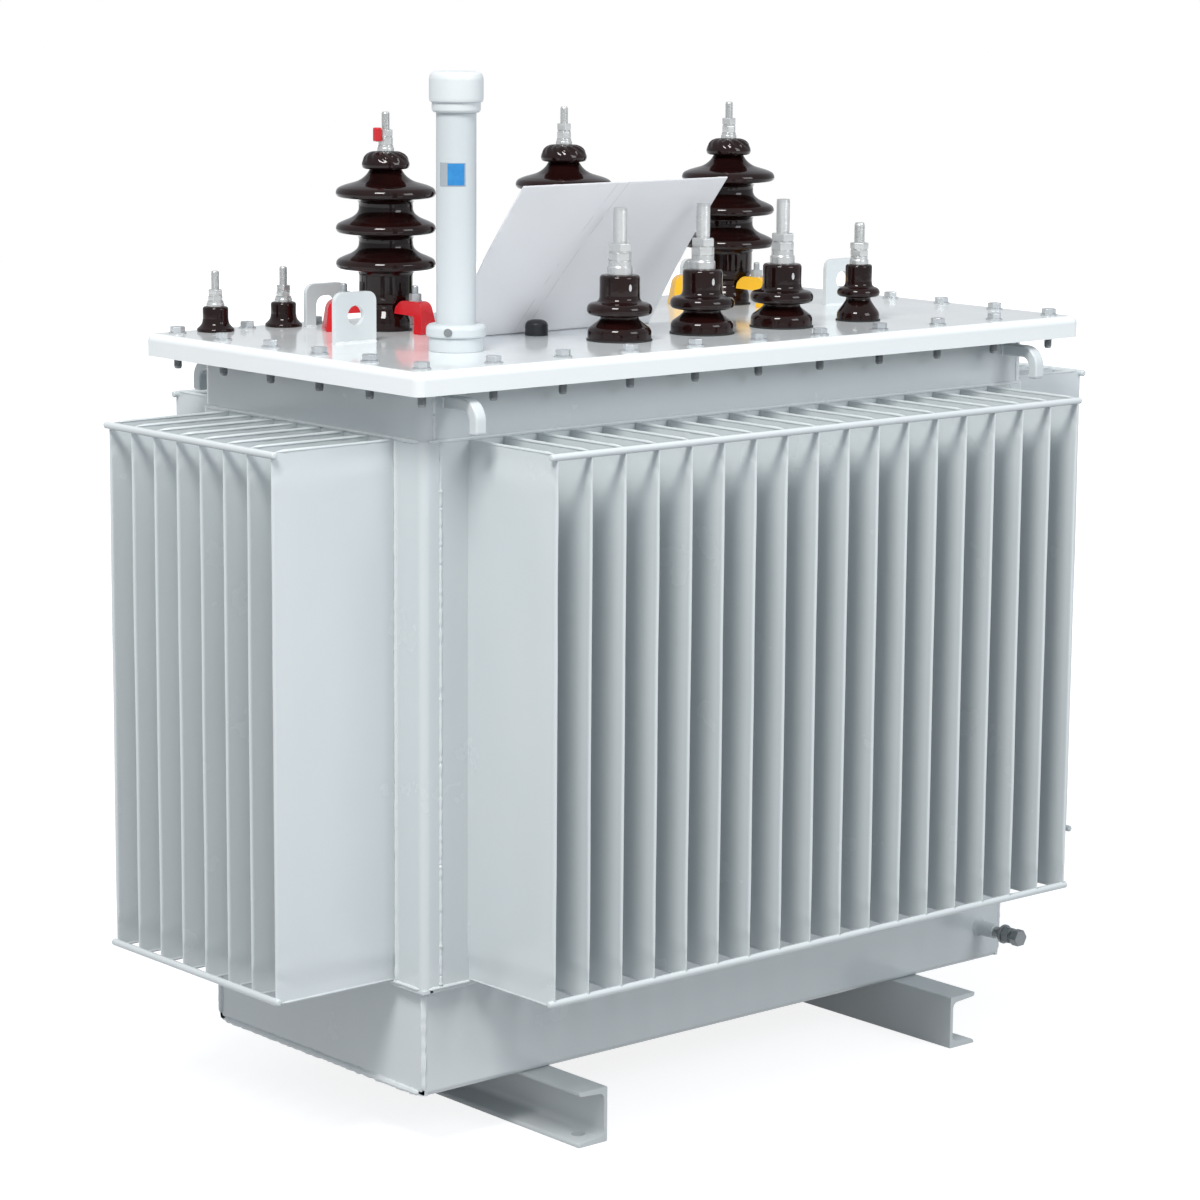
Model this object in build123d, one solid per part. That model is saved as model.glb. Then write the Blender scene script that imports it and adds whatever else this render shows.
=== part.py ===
"""Oil-filled three-phase distribution transformer with a corrugated-fin tank.

Frame: millimetres, +Z up, origin on the floor under the middle of the tank.
+X runs along the long side, -Y is the low-voltage side.
"""
from build123d import *
import math
import os

# Skids: two channels laid across the tank, open sides outwards
SKID_HEIGHT = 80.0
SKID_FLANGE_WIDTH = 52.0
SKID_WEB_THICKNESS = 6.0
SKID_FLANGE_THICKNESS = 8.0
SKID_FLANGE_TAPER = 1.8
SKID_ROOT_RADIUS = 8.0
SKID_TOE_RADIUS = 4.0
SKID_LENGTH = 728.0
SKID_BACK_X = 343.0
SKID_HOLE_RADIUS = 10.0
SKID_HOLE_END_DISTANCE = 32.0

# Lower tray: floor plate and four flanged walls
TRAY_HALF_X = 572.0
TRAY_HALF_Y = 245.0
TRAY_WALL = 6.0
FLOOR_THICKNESS = 6.0
TRAY_BEND_RADIUS = 9.0
TRAY_FOOT_WIDTH = 60.0
TRAY_TOP = 236.0
LEDGE_WIDTH = 12.0
LEDGE_THICKNESS = 6.0

# Finned body: the fins share out the sheet between their end margins
PANEL_TOP = 990.0
SHEET_THICKNESS = 2.0
POST_THICKNESS = 5.0
POST_CORNER_RADIUS = 12.0
POST_LONG_LEG = 57.0
POST_SHORT_LEG = 31.0
FIN_WIDTH = 8.0
FIN_WALL = 1.5
FIN_PINCHED_WIDTH = 3.2
FIN_PINCHED_LENGTH = 18.0
FIN_TAPER_LENGTH = 36.0
FIN_CAVITY_END_WIDTH = 0.8
FIN_FOLD_RADIUS = 1.4
FIN_CORNER_RADIUS = 11.0
FIN_END_MARGIN_LOW = 3.0
FIN_END_MARGIN_HIGH = 2.0
LONG_FIN_SPACING = 59.2
LONG_FIN_END_MARGIN = 49.8
LONG_ROD_REACH = 184.0
LONG_FOLD_SETBACK = 1.0
SHORT_FIN_SPACING = 54.6
SHORT_FIN_END_MARGIN = 8.9
SHORT_ROD_REACH = 205.0
SHORT_FOLD_SETBACK = 5.0
ROD_RADIUS = 5.0
ROD_OVERRUN = 5.0
ROD_SEAT_GAP = 0.2

# Neck, rim flange and gasket under the cover
NECK_WALL = 6.0
NECK_CORNER_RADIUS = 20.0
NECK_HEIGHT = 81.0
RIM_THICKNESS = 10.0
RIM_OUTREACH = 42.0
GASKET_THICKNESS = 6.0
GASKET_WIDTH = 30.0
GASKET_INSET = 2.0
GASKET_JOINT_GAP = 0.5

# Cover: plate with folded edges
COVER_THICKNESS = 5.0
COVER_LIP_CLEARANCE_X = 9.0
COVER_LIP_CLEARANCE_Y = 14.0
COVER_LIP_HEIGHT = 32.0
COVER_CORNER_RADIUS = 14.0
COVER_BEND_RADIUS = 12.0

# Lashing hooks: square bars bent down from the long sides of the neck
HOOK_END_DISTANCE = 43.0
HOOK_BAR_WIDTH = 18.0
HOOK_BAR_HEIGHT = 17.0
HOOK_OUTREACH = 71.0
HOOK_BEND_RADIUS = 30.0
HOOK_TOP_CLEARANCE = 20.0
HOOK_TIP_DROP = 48.0

# Lifting lugs on the cover: eye plates near the ends, arched plates behind
LUG_WIDTH = 72.0
LUG_HEIGHT = 71.0
LUG_THICKNESS = 8.0
LUG_CORNER_RADIUS = 14.0
LUG_EYE_RADIUS = 14.0
LUG_EYE_HEIGHT = 38.0
MAIN_LUG_END_DISTANCE = 164.0
MAIN_LUG_Y = 37.0
REAR_LUG_HEIGHT = 62.0
REAR_LUG_LEG_WIDTH = 18.0
REAR_LUG_END_DISTANCE = 272.0
REAR_LUG_EDGE_DISTANCE = 66.0

# High-voltage bushings
HV_PITCH = 335.0
HV_ROW_EDGE_DISTANCE = 170.0
HV_FOOT_RADIUS = 36.0
HV_FOOT_HEIGHT = 26.0
HV_GRIP_RADIUS = 28.0
HV_CORE_RADIUS = 41.0
HV_SHED_RADIUS = 72.0
HV_RIM_THICKNESS = 12.0
HV_SHED_PITCH = 51.0
HV_LOWEST_SHED = 95.0
HV_SHED_RISE = 26.0
HV_SHED_COUNT = 3
HV_NECK_RADIUS = 22.0
HV_KNOB_RADIUS = 34.5
HV_KNOB_BASE = 232.0
HV_KNOB_HEIGHT = 25.0
HV_STUD_RADIUS = 6.0
HV_STUD_LENGTH = 56.0
HV_NUT_ACROSS_FLATS = 19.0
HV_NUT_HEIGHT = 10.0
HV_WASHER_RADIUS = 12.0
HV_WASHER_HEIGHT = 9.0

# Clamp claws that hold each high-voltage bushing
CLAW_ANGLES = (-85.0, 35.0, 155.0)
CLAW_WIDTH = 26.0
CLAW_REACH = 92.0
CLAW_TOP = 46.0
CLAW_ARCH_THICKNESS = 16.0
CLAW_HEEL_WIDTH = 18.0
CLAW_TOE_LENGTH = 10.0
CLAW_TOE_HEIGHT = 9.0
CLAW_SEAT_GAP = 0.3
CLAW_HOLE_RADIUS = 5.5
CLAW_HOLE_REACH = 62.0

# Low-voltage bushings
LV_PITCH = 158.0
LV_ROW_EDGE_DISTANCE = 155.0
LV_FOOT_RADIUS = 45.5
LV_WAIST_RADIUS = 27.0
LV_SHED_RADIUS = 46.5
LV_BODY_RADIUS = 28.7
LV_HEIGHT = 93.0
LV_STUD_RADIUS = 10.0
LV_STUD_LENGTH = 94.0
LV_NUT_ACROSS_FLATS = 30.0
LV_NUT_HEIGHT = 11.0
LV_WASHER_RADIUS = 18.0
LV_WASHER_HEIGHT = 20.0
LV_FOOT_HEIGHT = 20.0
LV_SHED_LEVEL = 37.0
LV_SHED_THICKNESS = 15.0

# Neutral bushing: the smaller one at the end of the low-voltage row
NEUTRAL_FOOT_RADIUS = 32.0
NEUTRAL_WAIST_RADIUS = 18.0
NEUTRAL_BODY_RADIUS = 20.0
NEUTRAL_HEIGHT = 84.0
NEUTRAL_STUD_RADIUS = 8.0
NEUTRAL_STUD_LENGTH = 62.0
NEUTRAL_NUT_ACROSS_FLATS = 24.0
NEUTRAL_NUT_HEIGHT = 9.0
NEUTRAL_WASHER_RADIUS = 14.0
NEUTRAL_WASHER_HEIGHT = 12.0
NEUTRAL_FOOT_HEIGHT = 14.0
NEUTRAL_SHED_LEVEL = 36.0
NEUTRAL_SHED_THICKNESS = 12.0

# Two small bushings at the rear left corner
SMALL_BUSHING_END_DISTANCES = (95.0, 215.0)
SMALL_BUSHING_EDGE_DISTANCE = 42.0
SMALL_FOOT_RADIUS = 27.0
SMALL_BODY_RADIUS = 18.6
SMALL_HEIGHT = 36.0
SMALL_STUD_RADIUS = 6.0
SMALL_STUD_LENGTH = 51.0
SMALL_NUT_ACROSS_FLATS = 19.0
SMALL_NUT_HEIGHT = 7.0
SMALL_WASHER_RADIUS = 13.0
SMALL_WASHER_HEIGHT = 8.0

# Oil gauge standing on the cover
GAUGE_END_DISTANCE = 214.0
GAUGE_EDGE_DISTANCE = 189.0
GAUGE_COLLAR_RADIUS = 38.0
GAUGE_COLLAR_HEIGHT = 20.0
GAUGE_RING_RADIUS = 41.5
GAUGE_RING_HEIGHT = 17.0
GAUGE_TUBE_RADIUS = 27.5
GAUGE_TUBE_WALL = 3.0
GAUGE_TUBE_LENGTH = 288.0
GAUGE_NECK_RADIUS = 33.5
GAUGE_NECK_HEIGHT = 14.0
GAUGE_CAP_RADIUS = 37.2
GAUGE_CAP_HEIGHT = 42.0
GAUGE_WINDOW_WIDTH = 36.0
GAUGE_WINDOW_HEIGHT = 32.0
GAUGE_WINDOW_LEVEL = 242.0
GAUGE_WINDOW_BEARING = 219.0
GAUGE_WINDOW_INSET = 0.8

# Thermometer pocket and earthing stud
POCKET_X = -209.0
POCKET_Y = -41.0
POCKET_RADIUS = 16.5
POCKET_HEIGHT = 23.0
EARTH_END_DISTANCE = 44.0
EARTH_HEIGHT = 54.0
EARTH_BOSS_RADIUS = 11.0
EARTH_BOSS_LENGTH = 36.0
EARTH_STUD_RADIUS = 8.0
EARTH_STUD_REACH = 16.0
EARTH_WASHER_RADIUS = 15.0
EARTH_WASHER_THICKNESS = 4.0
EARTH_HEAD_ACROSS_FLATS = 24.0
EARTH_HEAD_LENGTH = 14.0
EARTH_HEAD_GAP = 5.0

# Terminals: the plain collar between the two nuts
NUT_COLLAR_HEIGHT = 2.0

# Places worked out from the sizes above
TANK_HALF_X = TRAY_HALF_X + LEDGE_WIDTH
TANK_HALF_Y = TRAY_HALF_Y + LEDGE_WIDTH
NECK_TOP = PANEL_TOP + NECK_HEIGHT
RIM_TOP = NECK_TOP + RIM_THICKNESS
COVER_UNDERSIDE = RIM_TOP + GASKET_THICKNESS
COVER_TOP = COVER_UNDERSIDE + COVER_THICKNESS
COVER_HALF_X = TANK_HALF_X + RIM_OUTREACH + COVER_LIP_CLEARANCE_X + COVER_THICKNESS
COVER_HALF_Y = TANK_HALF_Y + RIM_OUTREACH + COVER_LIP_CLEARANCE_Y + COVER_THICKNESS
HOOK_X = TANK_HALF_X - HOOK_END_DISTANCE
MAIN_LUG_X = COVER_HALF_X - MAIN_LUG_END_DISTANCE
REAR_LUG_X = COVER_HALF_X - REAR_LUG_END_DISTANCE
REAR_LUG_Y = COVER_HALF_Y - REAR_LUG_EDGE_DISTANCE
SMALL_BUSHING_Y = COVER_HALF_Y - SMALL_BUSHING_EDGE_DISTANCE
GAUGE_X = -COVER_HALF_X + GAUGE_END_DISTANCE
GAUGE_Y = -COVER_HALF_Y + GAUGE_EDGE_DISTANCE
HV_ROW_Y = COVER_HALF_Y - HV_ROW_EDGE_DISTANCE
LV_ROW_Y = -COVER_HALF_Y + LV_ROW_EDGE_DISTANCE
FIN_BOTTOM = TRAY_TOP + FIN_END_MARGIN_LOW
FIN_TOP = PANEL_TOP - FIN_END_MARGIN_HIGH


def block(x0, x1, y0, y1, z0, z1):
    """A box between two corners."""
    centre = ((x0 + x1) / 2, (y0 + y1) / 2, (z0 + z1) / 2)
    return Pos(*centre) * Box(x1 - x0, y1 - y0, z1 - z0)


def post(x, y, z0, z1, radius):
    """An upright cylinder between two heights."""
    return Pos(x, y, (z0 + z1) / 2) * Cylinder(radius, z1 - z0)


def hexagon(x, y, z0, z1, across_flats):
    """An upright hexagonal prism between two heights."""
    outline = RegularPolygon(across_flats / math.sqrt(3), 6)
    return Pos(x, y, z0) * extrude(outline, z1 - z0)


def outline(corners):
    """A closed outline through corners given as two places and, where it is round, a radius."""
    places = [Vector(corner[0], corner[1]) for corner in corners]
    radii = [corner[2] if len(corner) > 2 else 0.0 for corner in corners]
    bends = []
    for i, (here, radius) in enumerate(zip(places, radii)):
        if radius == 0.0:
            bends.append((here, here, here))
            continue
        back = (places[i - 1] - here).normalized()
        ahead = (places[(i + 1) % len(places)] - here).normalized()
        half = math.radians(back.get_angle(ahead)) / 2
        cut = radius / math.tan(half)
        middle = here + (back + ahead).normalized() * (radius / math.sin(half) - radius)
        bends.append((here + back * cut, middle, here + ahead * cut))
    edges = []
    for i, (start, middle, end) in enumerate(bends):
        if radii[i] > 0.0:
            edges.append(ThreePointArc(start, middle, end))
        edges.append(Line(end, bends[(i + 1) % len(bends)][0]))
    return make_face(Wire(edges))


def turned(corners):
    """A solid turned about Z from a half profile given as radius and height."""
    return revolve(Plane.XZ * outline(corners), Axis.Z)


def standing_plate(corners, thickness):
    """A plate across Y, centred on it, from an outline in X and Z."""
    return extrude(Plane.XZ * outline(corners), thickness / 2, both=True)


def save(name, shape):
    """Write one node, with all its solids, to its own file."""
    export_step(shape, f"parts/{name}.step")


def skid():
    """One rolled channel across the tank: web at the back, tapered flanges towards -X."""
    back, tip_x = -SKID_BACK_X, -SKID_BACK_X - SKID_FLANGE_WIDTH
    web_x = back - SKID_WEB_THICKNESS
    thin = SKID_FLANGE_THICKNESS - SKID_FLANGE_TAPER
    thick = SKID_FLANGE_THICKNESS + SKID_FLANGE_TAPER
    section = outline([
        (back, 0), (tip_x, 0), (tip_x, thin, SKID_TOE_RADIUS), (web_x, thick, SKID_ROOT_RADIUS),
        (web_x, SKID_HEIGHT - thick, SKID_ROOT_RADIUS), (tip_x, SKID_HEIGHT - thin, SKID_TOE_RADIUS),
        (tip_x, SKID_HEIGHT), (back, SKID_HEIGHT),
    ])
    channel = extrude(Plane.XZ * section, SKID_LENGTH / 2, both=True)
    hole_x = (back + tip_x) / 2
    hole_y = SKID_LENGTH / 2 - SKID_HOLE_END_DISTANCE
    for y in (-hole_y, hole_y):
        channel -= post(hole_x, y, -1, thick + 1, SKID_HOLE_RADIUS)
    return channel


def tray_floor():
    """Floor plate of the tank, laid between the folded feet of the long walls."""
    half_y = TRAY_HALF_Y - TRAY_FOOT_WIDTH
    top = SKID_HEIGHT + FLOOR_THICKNESS
    return block(-TRAY_HALF_X, TRAY_HALF_X, -half_y, half_y, SKID_HEIGHT, top)


def long_tray_wall():
    """Front wall of the tray, folded inwards at its foot, with the ledge under the finned body."""
    base = SKID_HEIGHT + FLOOR_THICKNESS
    outer_y, inner_y = -TRAY_HALF_Y, -TRAY_HALF_Y + TRAY_WALL
    foot_y = outer_y + TRAY_FOOT_WIDTH
    section = outline([
        (outer_y, SKID_HEIGHT, TRAY_BEND_RADIUS), (foot_y, SKID_HEIGHT), (foot_y, base),
        (inner_y, base, TRAY_BEND_RADIUS - TRAY_WALL), (inner_y, TRAY_TOP), (outer_y, TRAY_TOP),
    ])
    wall = extrude(Plane.YZ * section, TRAY_HALF_X, both=True)
    ledge = block(-TANK_HALF_X, TANK_HALF_X, -TANK_HALF_Y, inner_y, TRAY_TOP - LEDGE_THICKNESS, TRAY_TOP)
    return wall + ledge


def short_tray_wall():
    """Left wall of the tray, fitted between the long walls and cut clear of their bends."""
    base = SKID_HEIGHT + FLOOR_THICKNESS
    half = TRAY_HALF_Y - TRAY_WALL
    inner_x = -TRAY_HALF_X + TRAY_WALL
    face = outline([(-half, base, TRAY_BEND_RADIUS), (half, base, TRAY_BEND_RADIUS),
                    (half, TRAY_TOP), (-half, TRAY_TOP)])
    wall = Pos(-TRAY_HALF_X, 0, 0) * extrude(Plane.YZ * face, TRAY_WALL)
    ledge = block(-TANK_HALF_X, inner_x, -half, half, TRAY_TOP - LEDGE_THICKNESS, TRAY_TOP)
    return wall + ledge


def corner_post():
    """Bent corner plate at the front left of the finned body."""
    left, front = -TANK_HALF_X, -TANK_HALF_Y
    inset = POST_THICKNESS
    outline = Polyline(
        (left, front + POST_LONG_LEG), (left, front), (left + POST_SHORT_LEG, front),
        (left + POST_SHORT_LEG, front + inset), (left + inset, front + inset),
        (left + inset, front + POST_LONG_LEG), close=True,
    )
    bar = extrude(make_face(outline), PANEL_TOP - TRAY_TOP)
    corner = bar.edges().filter_by(Axis.Z).sort_by_distance((left, front, 0))[0]
    bar = fillet(corner, POST_CORNER_RADIUS)
    inner = bar.edges().filter_by(Axis.Z).sort_by_distance((left + inset, front + inset, 0))[0]
    bar = fillet(inner, POST_CORNER_RADIUS - POST_THICKNESS)
    return Pos(0, 0, TRAY_TOP) * bar


def fin_outline(half_mid, half_end, low, high, end_length, taper):
    """Outline of a fin seen from outside: full width with pinched ends."""
    steps = [
        (half_end, low), (half_end, low + end_length),
        (half_mid, low + end_length + taper), (half_mid, high - end_length - taper),
        (half_end, high - end_length), (half_end, high),
    ]
    return outline(steps + [(-x, z) for x, z in reversed(steps)])


def fin(fold, rod_y):
    """One folded fin standing out from the sheet face at y = 0 to its fold, with seats for the rods."""
    front = fin_outline(FIN_WIDTH / 2, FIN_PINCHED_WIDTH / 2, FIN_BOTTOM, FIN_TOP,
                        FIN_PINCHED_LENGTH, FIN_TAPER_LENGTH)
    blade = extrude(Plane.XZ * front, fold)
    folded = blade.faces().sort_by(Axis.Y)[0].edges().filter_by(Axis.X, reverse=True)
    blade = fillet(folded, FIN_FOLD_RADIUS)
    side = outline([(1, FIN_BOTTOM), (1, FIN_TOP), (-fold, FIN_TOP, FIN_CORNER_RADIUS),
                    (-fold, FIN_BOTTOM, FIN_CORNER_RADIUS)])
    blade &= extrude(Plane.YZ * side, FIN_WIDTH, both=True)
    for z in (FIN_BOTTOM + ROD_RADIUS, FIN_TOP - ROD_RADIUS):
        seat = Rot(0, 90, 0) * Cylinder(ROD_RADIUS + ROD_SEAT_GAP, 2 * FIN_WIDTH)
        blade -= Pos(0, rod_y, z) * seat
    return blade


def fin_cavity(fold):
    """The oil space inside one fin, open to the tank."""
    slope = (FIN_WIDTH - FIN_PINCHED_WIDTH) / 2 / FIN_TAPER_LENGTH
    half_mid = FIN_WIDTH / 2 - FIN_WALL
    half_end = FIN_CAVITY_END_WIDTH / 2
    taper = (half_mid - half_end) / slope
    end = FIN_PINCHED_LENGTH + FIN_TAPER_LENGTH - taper
    steps = [
        (half_end, FIN_BOTTOM + end), (half_mid, FIN_BOTTOM + end + taper),
        (half_mid, FIN_TOP - end - taper), (half_end, FIN_TOP - end),
    ]
    hollow = outline(steps + [(-x, z) for x, z in reversed(steps)])
    length = fold - FIN_WALL + SHEET_THICKNESS + 1
    return Pos(0, SHEET_THICKNESS + 1, 0) * extrude(Plane.XZ * hollow, length)


def fin_row(half_width, spacing, margin):
    """How many fins share out a sheet between its end margins, and their pitch."""
    span = 2 * half_width - 2 * margin
    count = max(round(span / spacing), 1) + 1
    return count, span / (count - 1)


def fin_panel(half_width, wall_y, row, reach, setback):
    """A corrugated wall facing -Y: a sheet with a row of hollow fins."""
    count, pitch = row
    panel = block(-half_width, half_width, 0, SHEET_THICKNESS, TRAY_TOP, PANEL_TOP)
    blade = fin(reach - setback, ROD_RADIUS - reach)
    cavity = fin_cavity(reach - setback)
    places = [Pos((i - (count - 1) / 2) * pitch, 0, 0) for i in range(count)]
    panel = panel + [place * blade for place in places]
    panel = panel - [place * cavity for place in places]
    return Pos(0, -wall_y, 0) * panel


def fin_rods(wall_y, row, reach):
    """The two round bars that tie the fin tips of a panel facing -Y."""
    count, pitch = row
    length = (count - 1) * pitch + FIN_WIDTH + 2 * ROD_OVERRUN
    rods = []
    for z in (FIN_BOTTOM + ROD_RADIUS, FIN_TOP - ROD_RADIUS):
        bar = Rot(0, 90, 0) * Cylinder(ROD_RADIUS, length)
        bar = chamfer(bar.edges().filter_by(GeomType.CIRCLE), ROD_RADIUS / 4)
        rods.append(Pos(0, -wall_y - reach + ROD_RADIUS, z) * bar)
    return rods


def neck():
    """Plain upper wall of the tank between the fins and the rim."""
    outer = RectangleRounded(2 * TANK_HALF_X, 2 * TANK_HALF_Y, NECK_CORNER_RADIUS)
    inner = RectangleRounded(2 * (TANK_HALF_X - NECK_WALL), 2 * (TANK_HALF_Y - NECK_WALL),
                             NECK_CORNER_RADIUS - NECK_WALL)
    return Pos(0, 0, PANEL_TOP) * extrude(outer - inner, NECK_HEIGHT)


def rim_flange():
    """Flat ring on the neck that the cover is bolted to."""
    half_x = TANK_HALF_X + RIM_OUTREACH
    half_y = TANK_HALF_Y + RIM_OUTREACH
    outer = RectangleRounded(2 * half_x, 2 * half_y, NECK_CORNER_RADIUS)
    inner = RectangleRounded(2 * (TANK_HALF_X - NECK_WALL), 2 * (TANK_HALF_Y - NECK_WALL),
                             NECK_CORNER_RADIUS - NECK_WALL)
    return Pos(0, 0, NECK_TOP) * extrude(outer - inner, RIM_THICKNESS)


def cover_gasket():
    """Four sealing strips between rim and cover."""
    outer_x = TANK_HALF_X + RIM_OUTREACH - GASKET_INSET
    outer_y = TANK_HALF_Y + RIM_OUTREACH - GASKET_INSET
    inner_x = outer_x - GASKET_WIDTH
    inner_y = outer_y - GASKET_WIDTH
    strips = []
    for side in (-1, 1):
        y0, y1 = sorted((side * inner_y, side * outer_y))
        strips.append(block(-outer_x, outer_x, y0, y1, RIM_TOP, COVER_UNDERSIDE))
        x0, x1 = sorted((side * inner_x, side * outer_x))
        end_y = inner_y - GASKET_JOINT_GAP
        strips.append(block(x0, x1, -end_y, end_y, RIM_TOP, COVER_UNDERSIDE))
    return strips


def cover():
    """Cover plate with its edges folded down over the rim."""
    low = COVER_TOP - COVER_LIP_HEIGHT
    outer = extrude(RectangleRounded(2 * COVER_HALF_X, 2 * COVER_HALF_Y, COVER_CORNER_RADIUS),
                    COVER_LIP_HEIGHT)
    outer = fillet(outer.faces().sort_by(Axis.Z)[-1].edges(), COVER_BEND_RADIUS)
    inside_x = COVER_HALF_X - COVER_THICKNESS
    inside_y = COVER_HALF_Y - COVER_THICKNESS
    depth = COVER_LIP_HEIGHT - COVER_THICKNESS
    inner = extrude(RectangleRounded(2 * inside_x, 2 * inside_y, COVER_CORNER_RADIUS - COVER_THICKNESS),
                    depth)
    inner = fillet(inner.faces().sort_by(Axis.Z)[-1].edges(), COVER_BEND_RADIUS - COVER_THICKNESS)
    return Pos(0, 0, low) * (outer - inner)


def lashing_hook():
    """Square bar bent down over the front left of the neck, open towards the wall."""
    crown = NECK_TOP - HOOK_TOP_CLEARANCE
    under, tip = crown - HOOK_BAR_HEIGHT, crown - HOOK_TIP_DROP
    reach, inner = HOOK_OUTREACH, HOOK_OUTREACH - HOOK_BAR_HEIGHT
    bar = standing_plate([
        (0, under), (inner, under, HOOK_BEND_RADIUS - HOOK_BAR_HEIGHT), (inner, tip),
        (reach, tip), (reach, crown, HOOK_BEND_RADIUS), (0, crown),
    ], HOOK_BAR_WIDTH)
    return Pos(-HOOK_X, -TANK_HALF_Y, 0) * Rot(0, 0, -90) * bar


def lug_plate(height):
    """Upright plate with rounded shoulders, standing on z = 0."""
    half = LUG_WIDTH / 2
    return standing_plate([(-half, 0), (half, 0), (half, height, LUG_CORNER_RADIUS),
                           (-half, height, LUG_CORNER_RADIUS)], LUG_THICKNESS)


def eye_lug(x, y):
    """Lifting lug with a round eye."""
    eye = Pos(0, 0, LUG_EYE_HEIGHT) * Rot(90, 0, 0) * Cylinder(LUG_EYE_RADIUS, LUG_THICKNESS + 2)
    return Pos(x, y, COVER_TOP) * (lug_plate(LUG_HEIGHT) - eye)


def arched_lug(x, y):
    """Lifting lug cut out as an arch down to the cover."""
    half, top = LUG_WIDTH / 2 - REAR_LUG_LEG_WIDTH, REAR_LUG_HEIGHT - REAR_LUG_LEG_WIDTH
    arch = standing_plate([(-half, -1), (half, -1), (half, top, LUG_CORNER_RADIUS),
                           (-half, top, LUG_CORNER_RADIUS)], LUG_THICKNESS + 2)
    return Pos(x, y, COVER_TOP) * (lug_plate(REAR_LUG_HEIGHT) - arch)


def hv_insulator(x):
    """High-voltage porcelain: clamped foot, three umbrella sheds and a terminal knob."""
    core, shed = HV_CORE_RADIUS, HV_SHED_RADIUS
    foot, grip, height = HV_FOOT_RADIUS, HV_GRIP_RADIUS, HV_FOOT_HEIGHT
    rounding = HV_RIM_THICKNESS / 2 - 0.5
    corners = [
        (0, 0), (foot - 1.5, 0), (foot, 1.5), (foot, height - 7), (foot - 2, height - 4),
        (grip, height + 1), (grip, height + 8), (core - 3, height + 19), (core, height + 25),
    ]
    for i in range(HV_SHED_COUNT):
        rim = HV_LOWEST_SHED + i * HV_SHED_PITCH
        low = rim - HV_RIM_THICKNESS / 2
        corners += [(core, low - 3), (shed, low, rounding), (shed, low + HV_RIM_THICKNESS, rounding)]
        if i < HV_SHED_COUNT - 1:
            corners += [(core + 2, rim + HV_SHED_RISE - 3), (core, rim + HV_SHED_RISE)]
    rim = HV_LOWEST_SHED + (HV_SHED_COUNT - 1) * HV_SHED_PITCH
    neck, knob, knob_z = HV_NECK_RADIUS, HV_KNOB_RADIUS, HV_KNOB_BASE
    corners += [
        (core, rim + HV_SHED_RISE - 3), (neck + 5, knob_z - 7), (neck, knob_z - 3), (neck, knob_z),
        (knob - 1.5, knob_z), (knob, knob_z + 2), (knob, knob_z + HV_KNOB_HEIGHT, HV_KNOB_HEIGHT / 2),
        (0, knob_z + HV_KNOB_HEIGHT),
    ]
    return Pos(x, HV_ROW_Y, COVER_TOP) * turned(corners)


def terminal(x, y, base, stud_radius, stud_length, washer_radius, nut_flats, nut_height, washer_height):
    """Threaded stud with a washer and two nuts, standing on an insulator."""
    nut_low = base + washer_height
    collar_low = nut_low + nut_height
    collar_high = collar_low + NUT_COLLAR_HEIGHT
    stack = post(x, y, base, base + stud_length, stud_radius)
    stack += post(x, y, base, nut_low, washer_radius)
    stack += hexagon(x, y, nut_low, collar_low, nut_flats)
    stack += post(x, y, collar_low, collar_high, nut_flats / 2)
    stack += hexagon(x, y, collar_high, collar_high + nut_height, nut_flats)
    return stack


def claw(x, angle):
    """One cast clamp claw: toe on the porcelain foot, broad heel on the cover."""
    toe_in, toe_low = HV_GRIP_RADIUS + 2, HV_FOOT_HEIGHT + CLAW_SEAT_GAP
    toe_out, toe_top = toe_in + CLAW_TOE_LENGTH, toe_low + CLAW_TOE_HEIGHT
    reach, top, arch = CLAW_REACH, CLAW_TOP, CLAW_TOP - CLAW_ARCH_THICKNESS
    heel_in = reach - CLAW_HEEL_WIDTH
    body = standing_plate([
        (toe_in, toe_low), (toe_in, toe_top, 2), (toe_in + 12, top, 6), (reach - 4, top, 14),
        (reach, 0), (heel_in, 0), (heel_in, arch, 6), (toe_out + 4, arch, 4), (toe_out, toe_low),
    ], CLAW_WIDTH)
    body -= post(CLAW_HOLE_REACH, 0, 0, top + 1, CLAW_HOLE_RADIUS)
    return Pos(x, HV_ROW_Y, COVER_TOP) * Rot(0, 0, angle) * body


def lv_insulator(x):
    """Low-voltage porcelain: broad foot, waist, one thick shed and a plain body."""
    foot, waist, shed, body = LV_FOOT_RADIUS, LV_WAIST_RADIUS, LV_SHED_RADIUS, LV_BODY_RADIUS
    foot_z, low, high = LV_FOOT_HEIGHT, LV_SHED_LEVEL, LV_SHED_LEVEL + LV_SHED_THICKNESS
    rounding = LV_SHED_THICKNESS / 2 - 1
    corners = [
        (0, 0), (foot, 0), (foot, foot_z - 6), (foot - 4, foot_z), (waist + 6, foot_z + 6),
        (waist, foot_z + 12), (waist, low - 2), (shed, low, rounding), (shed, high, rounding),
        (waist, high + 4), (body, high + 7), (body, LV_HEIGHT - 4), (body - 4, LV_HEIGHT), (0, LV_HEIGHT),
    ]
    return Pos(x, LV_ROW_Y, COVER_TOP) * turned(corners)


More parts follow.
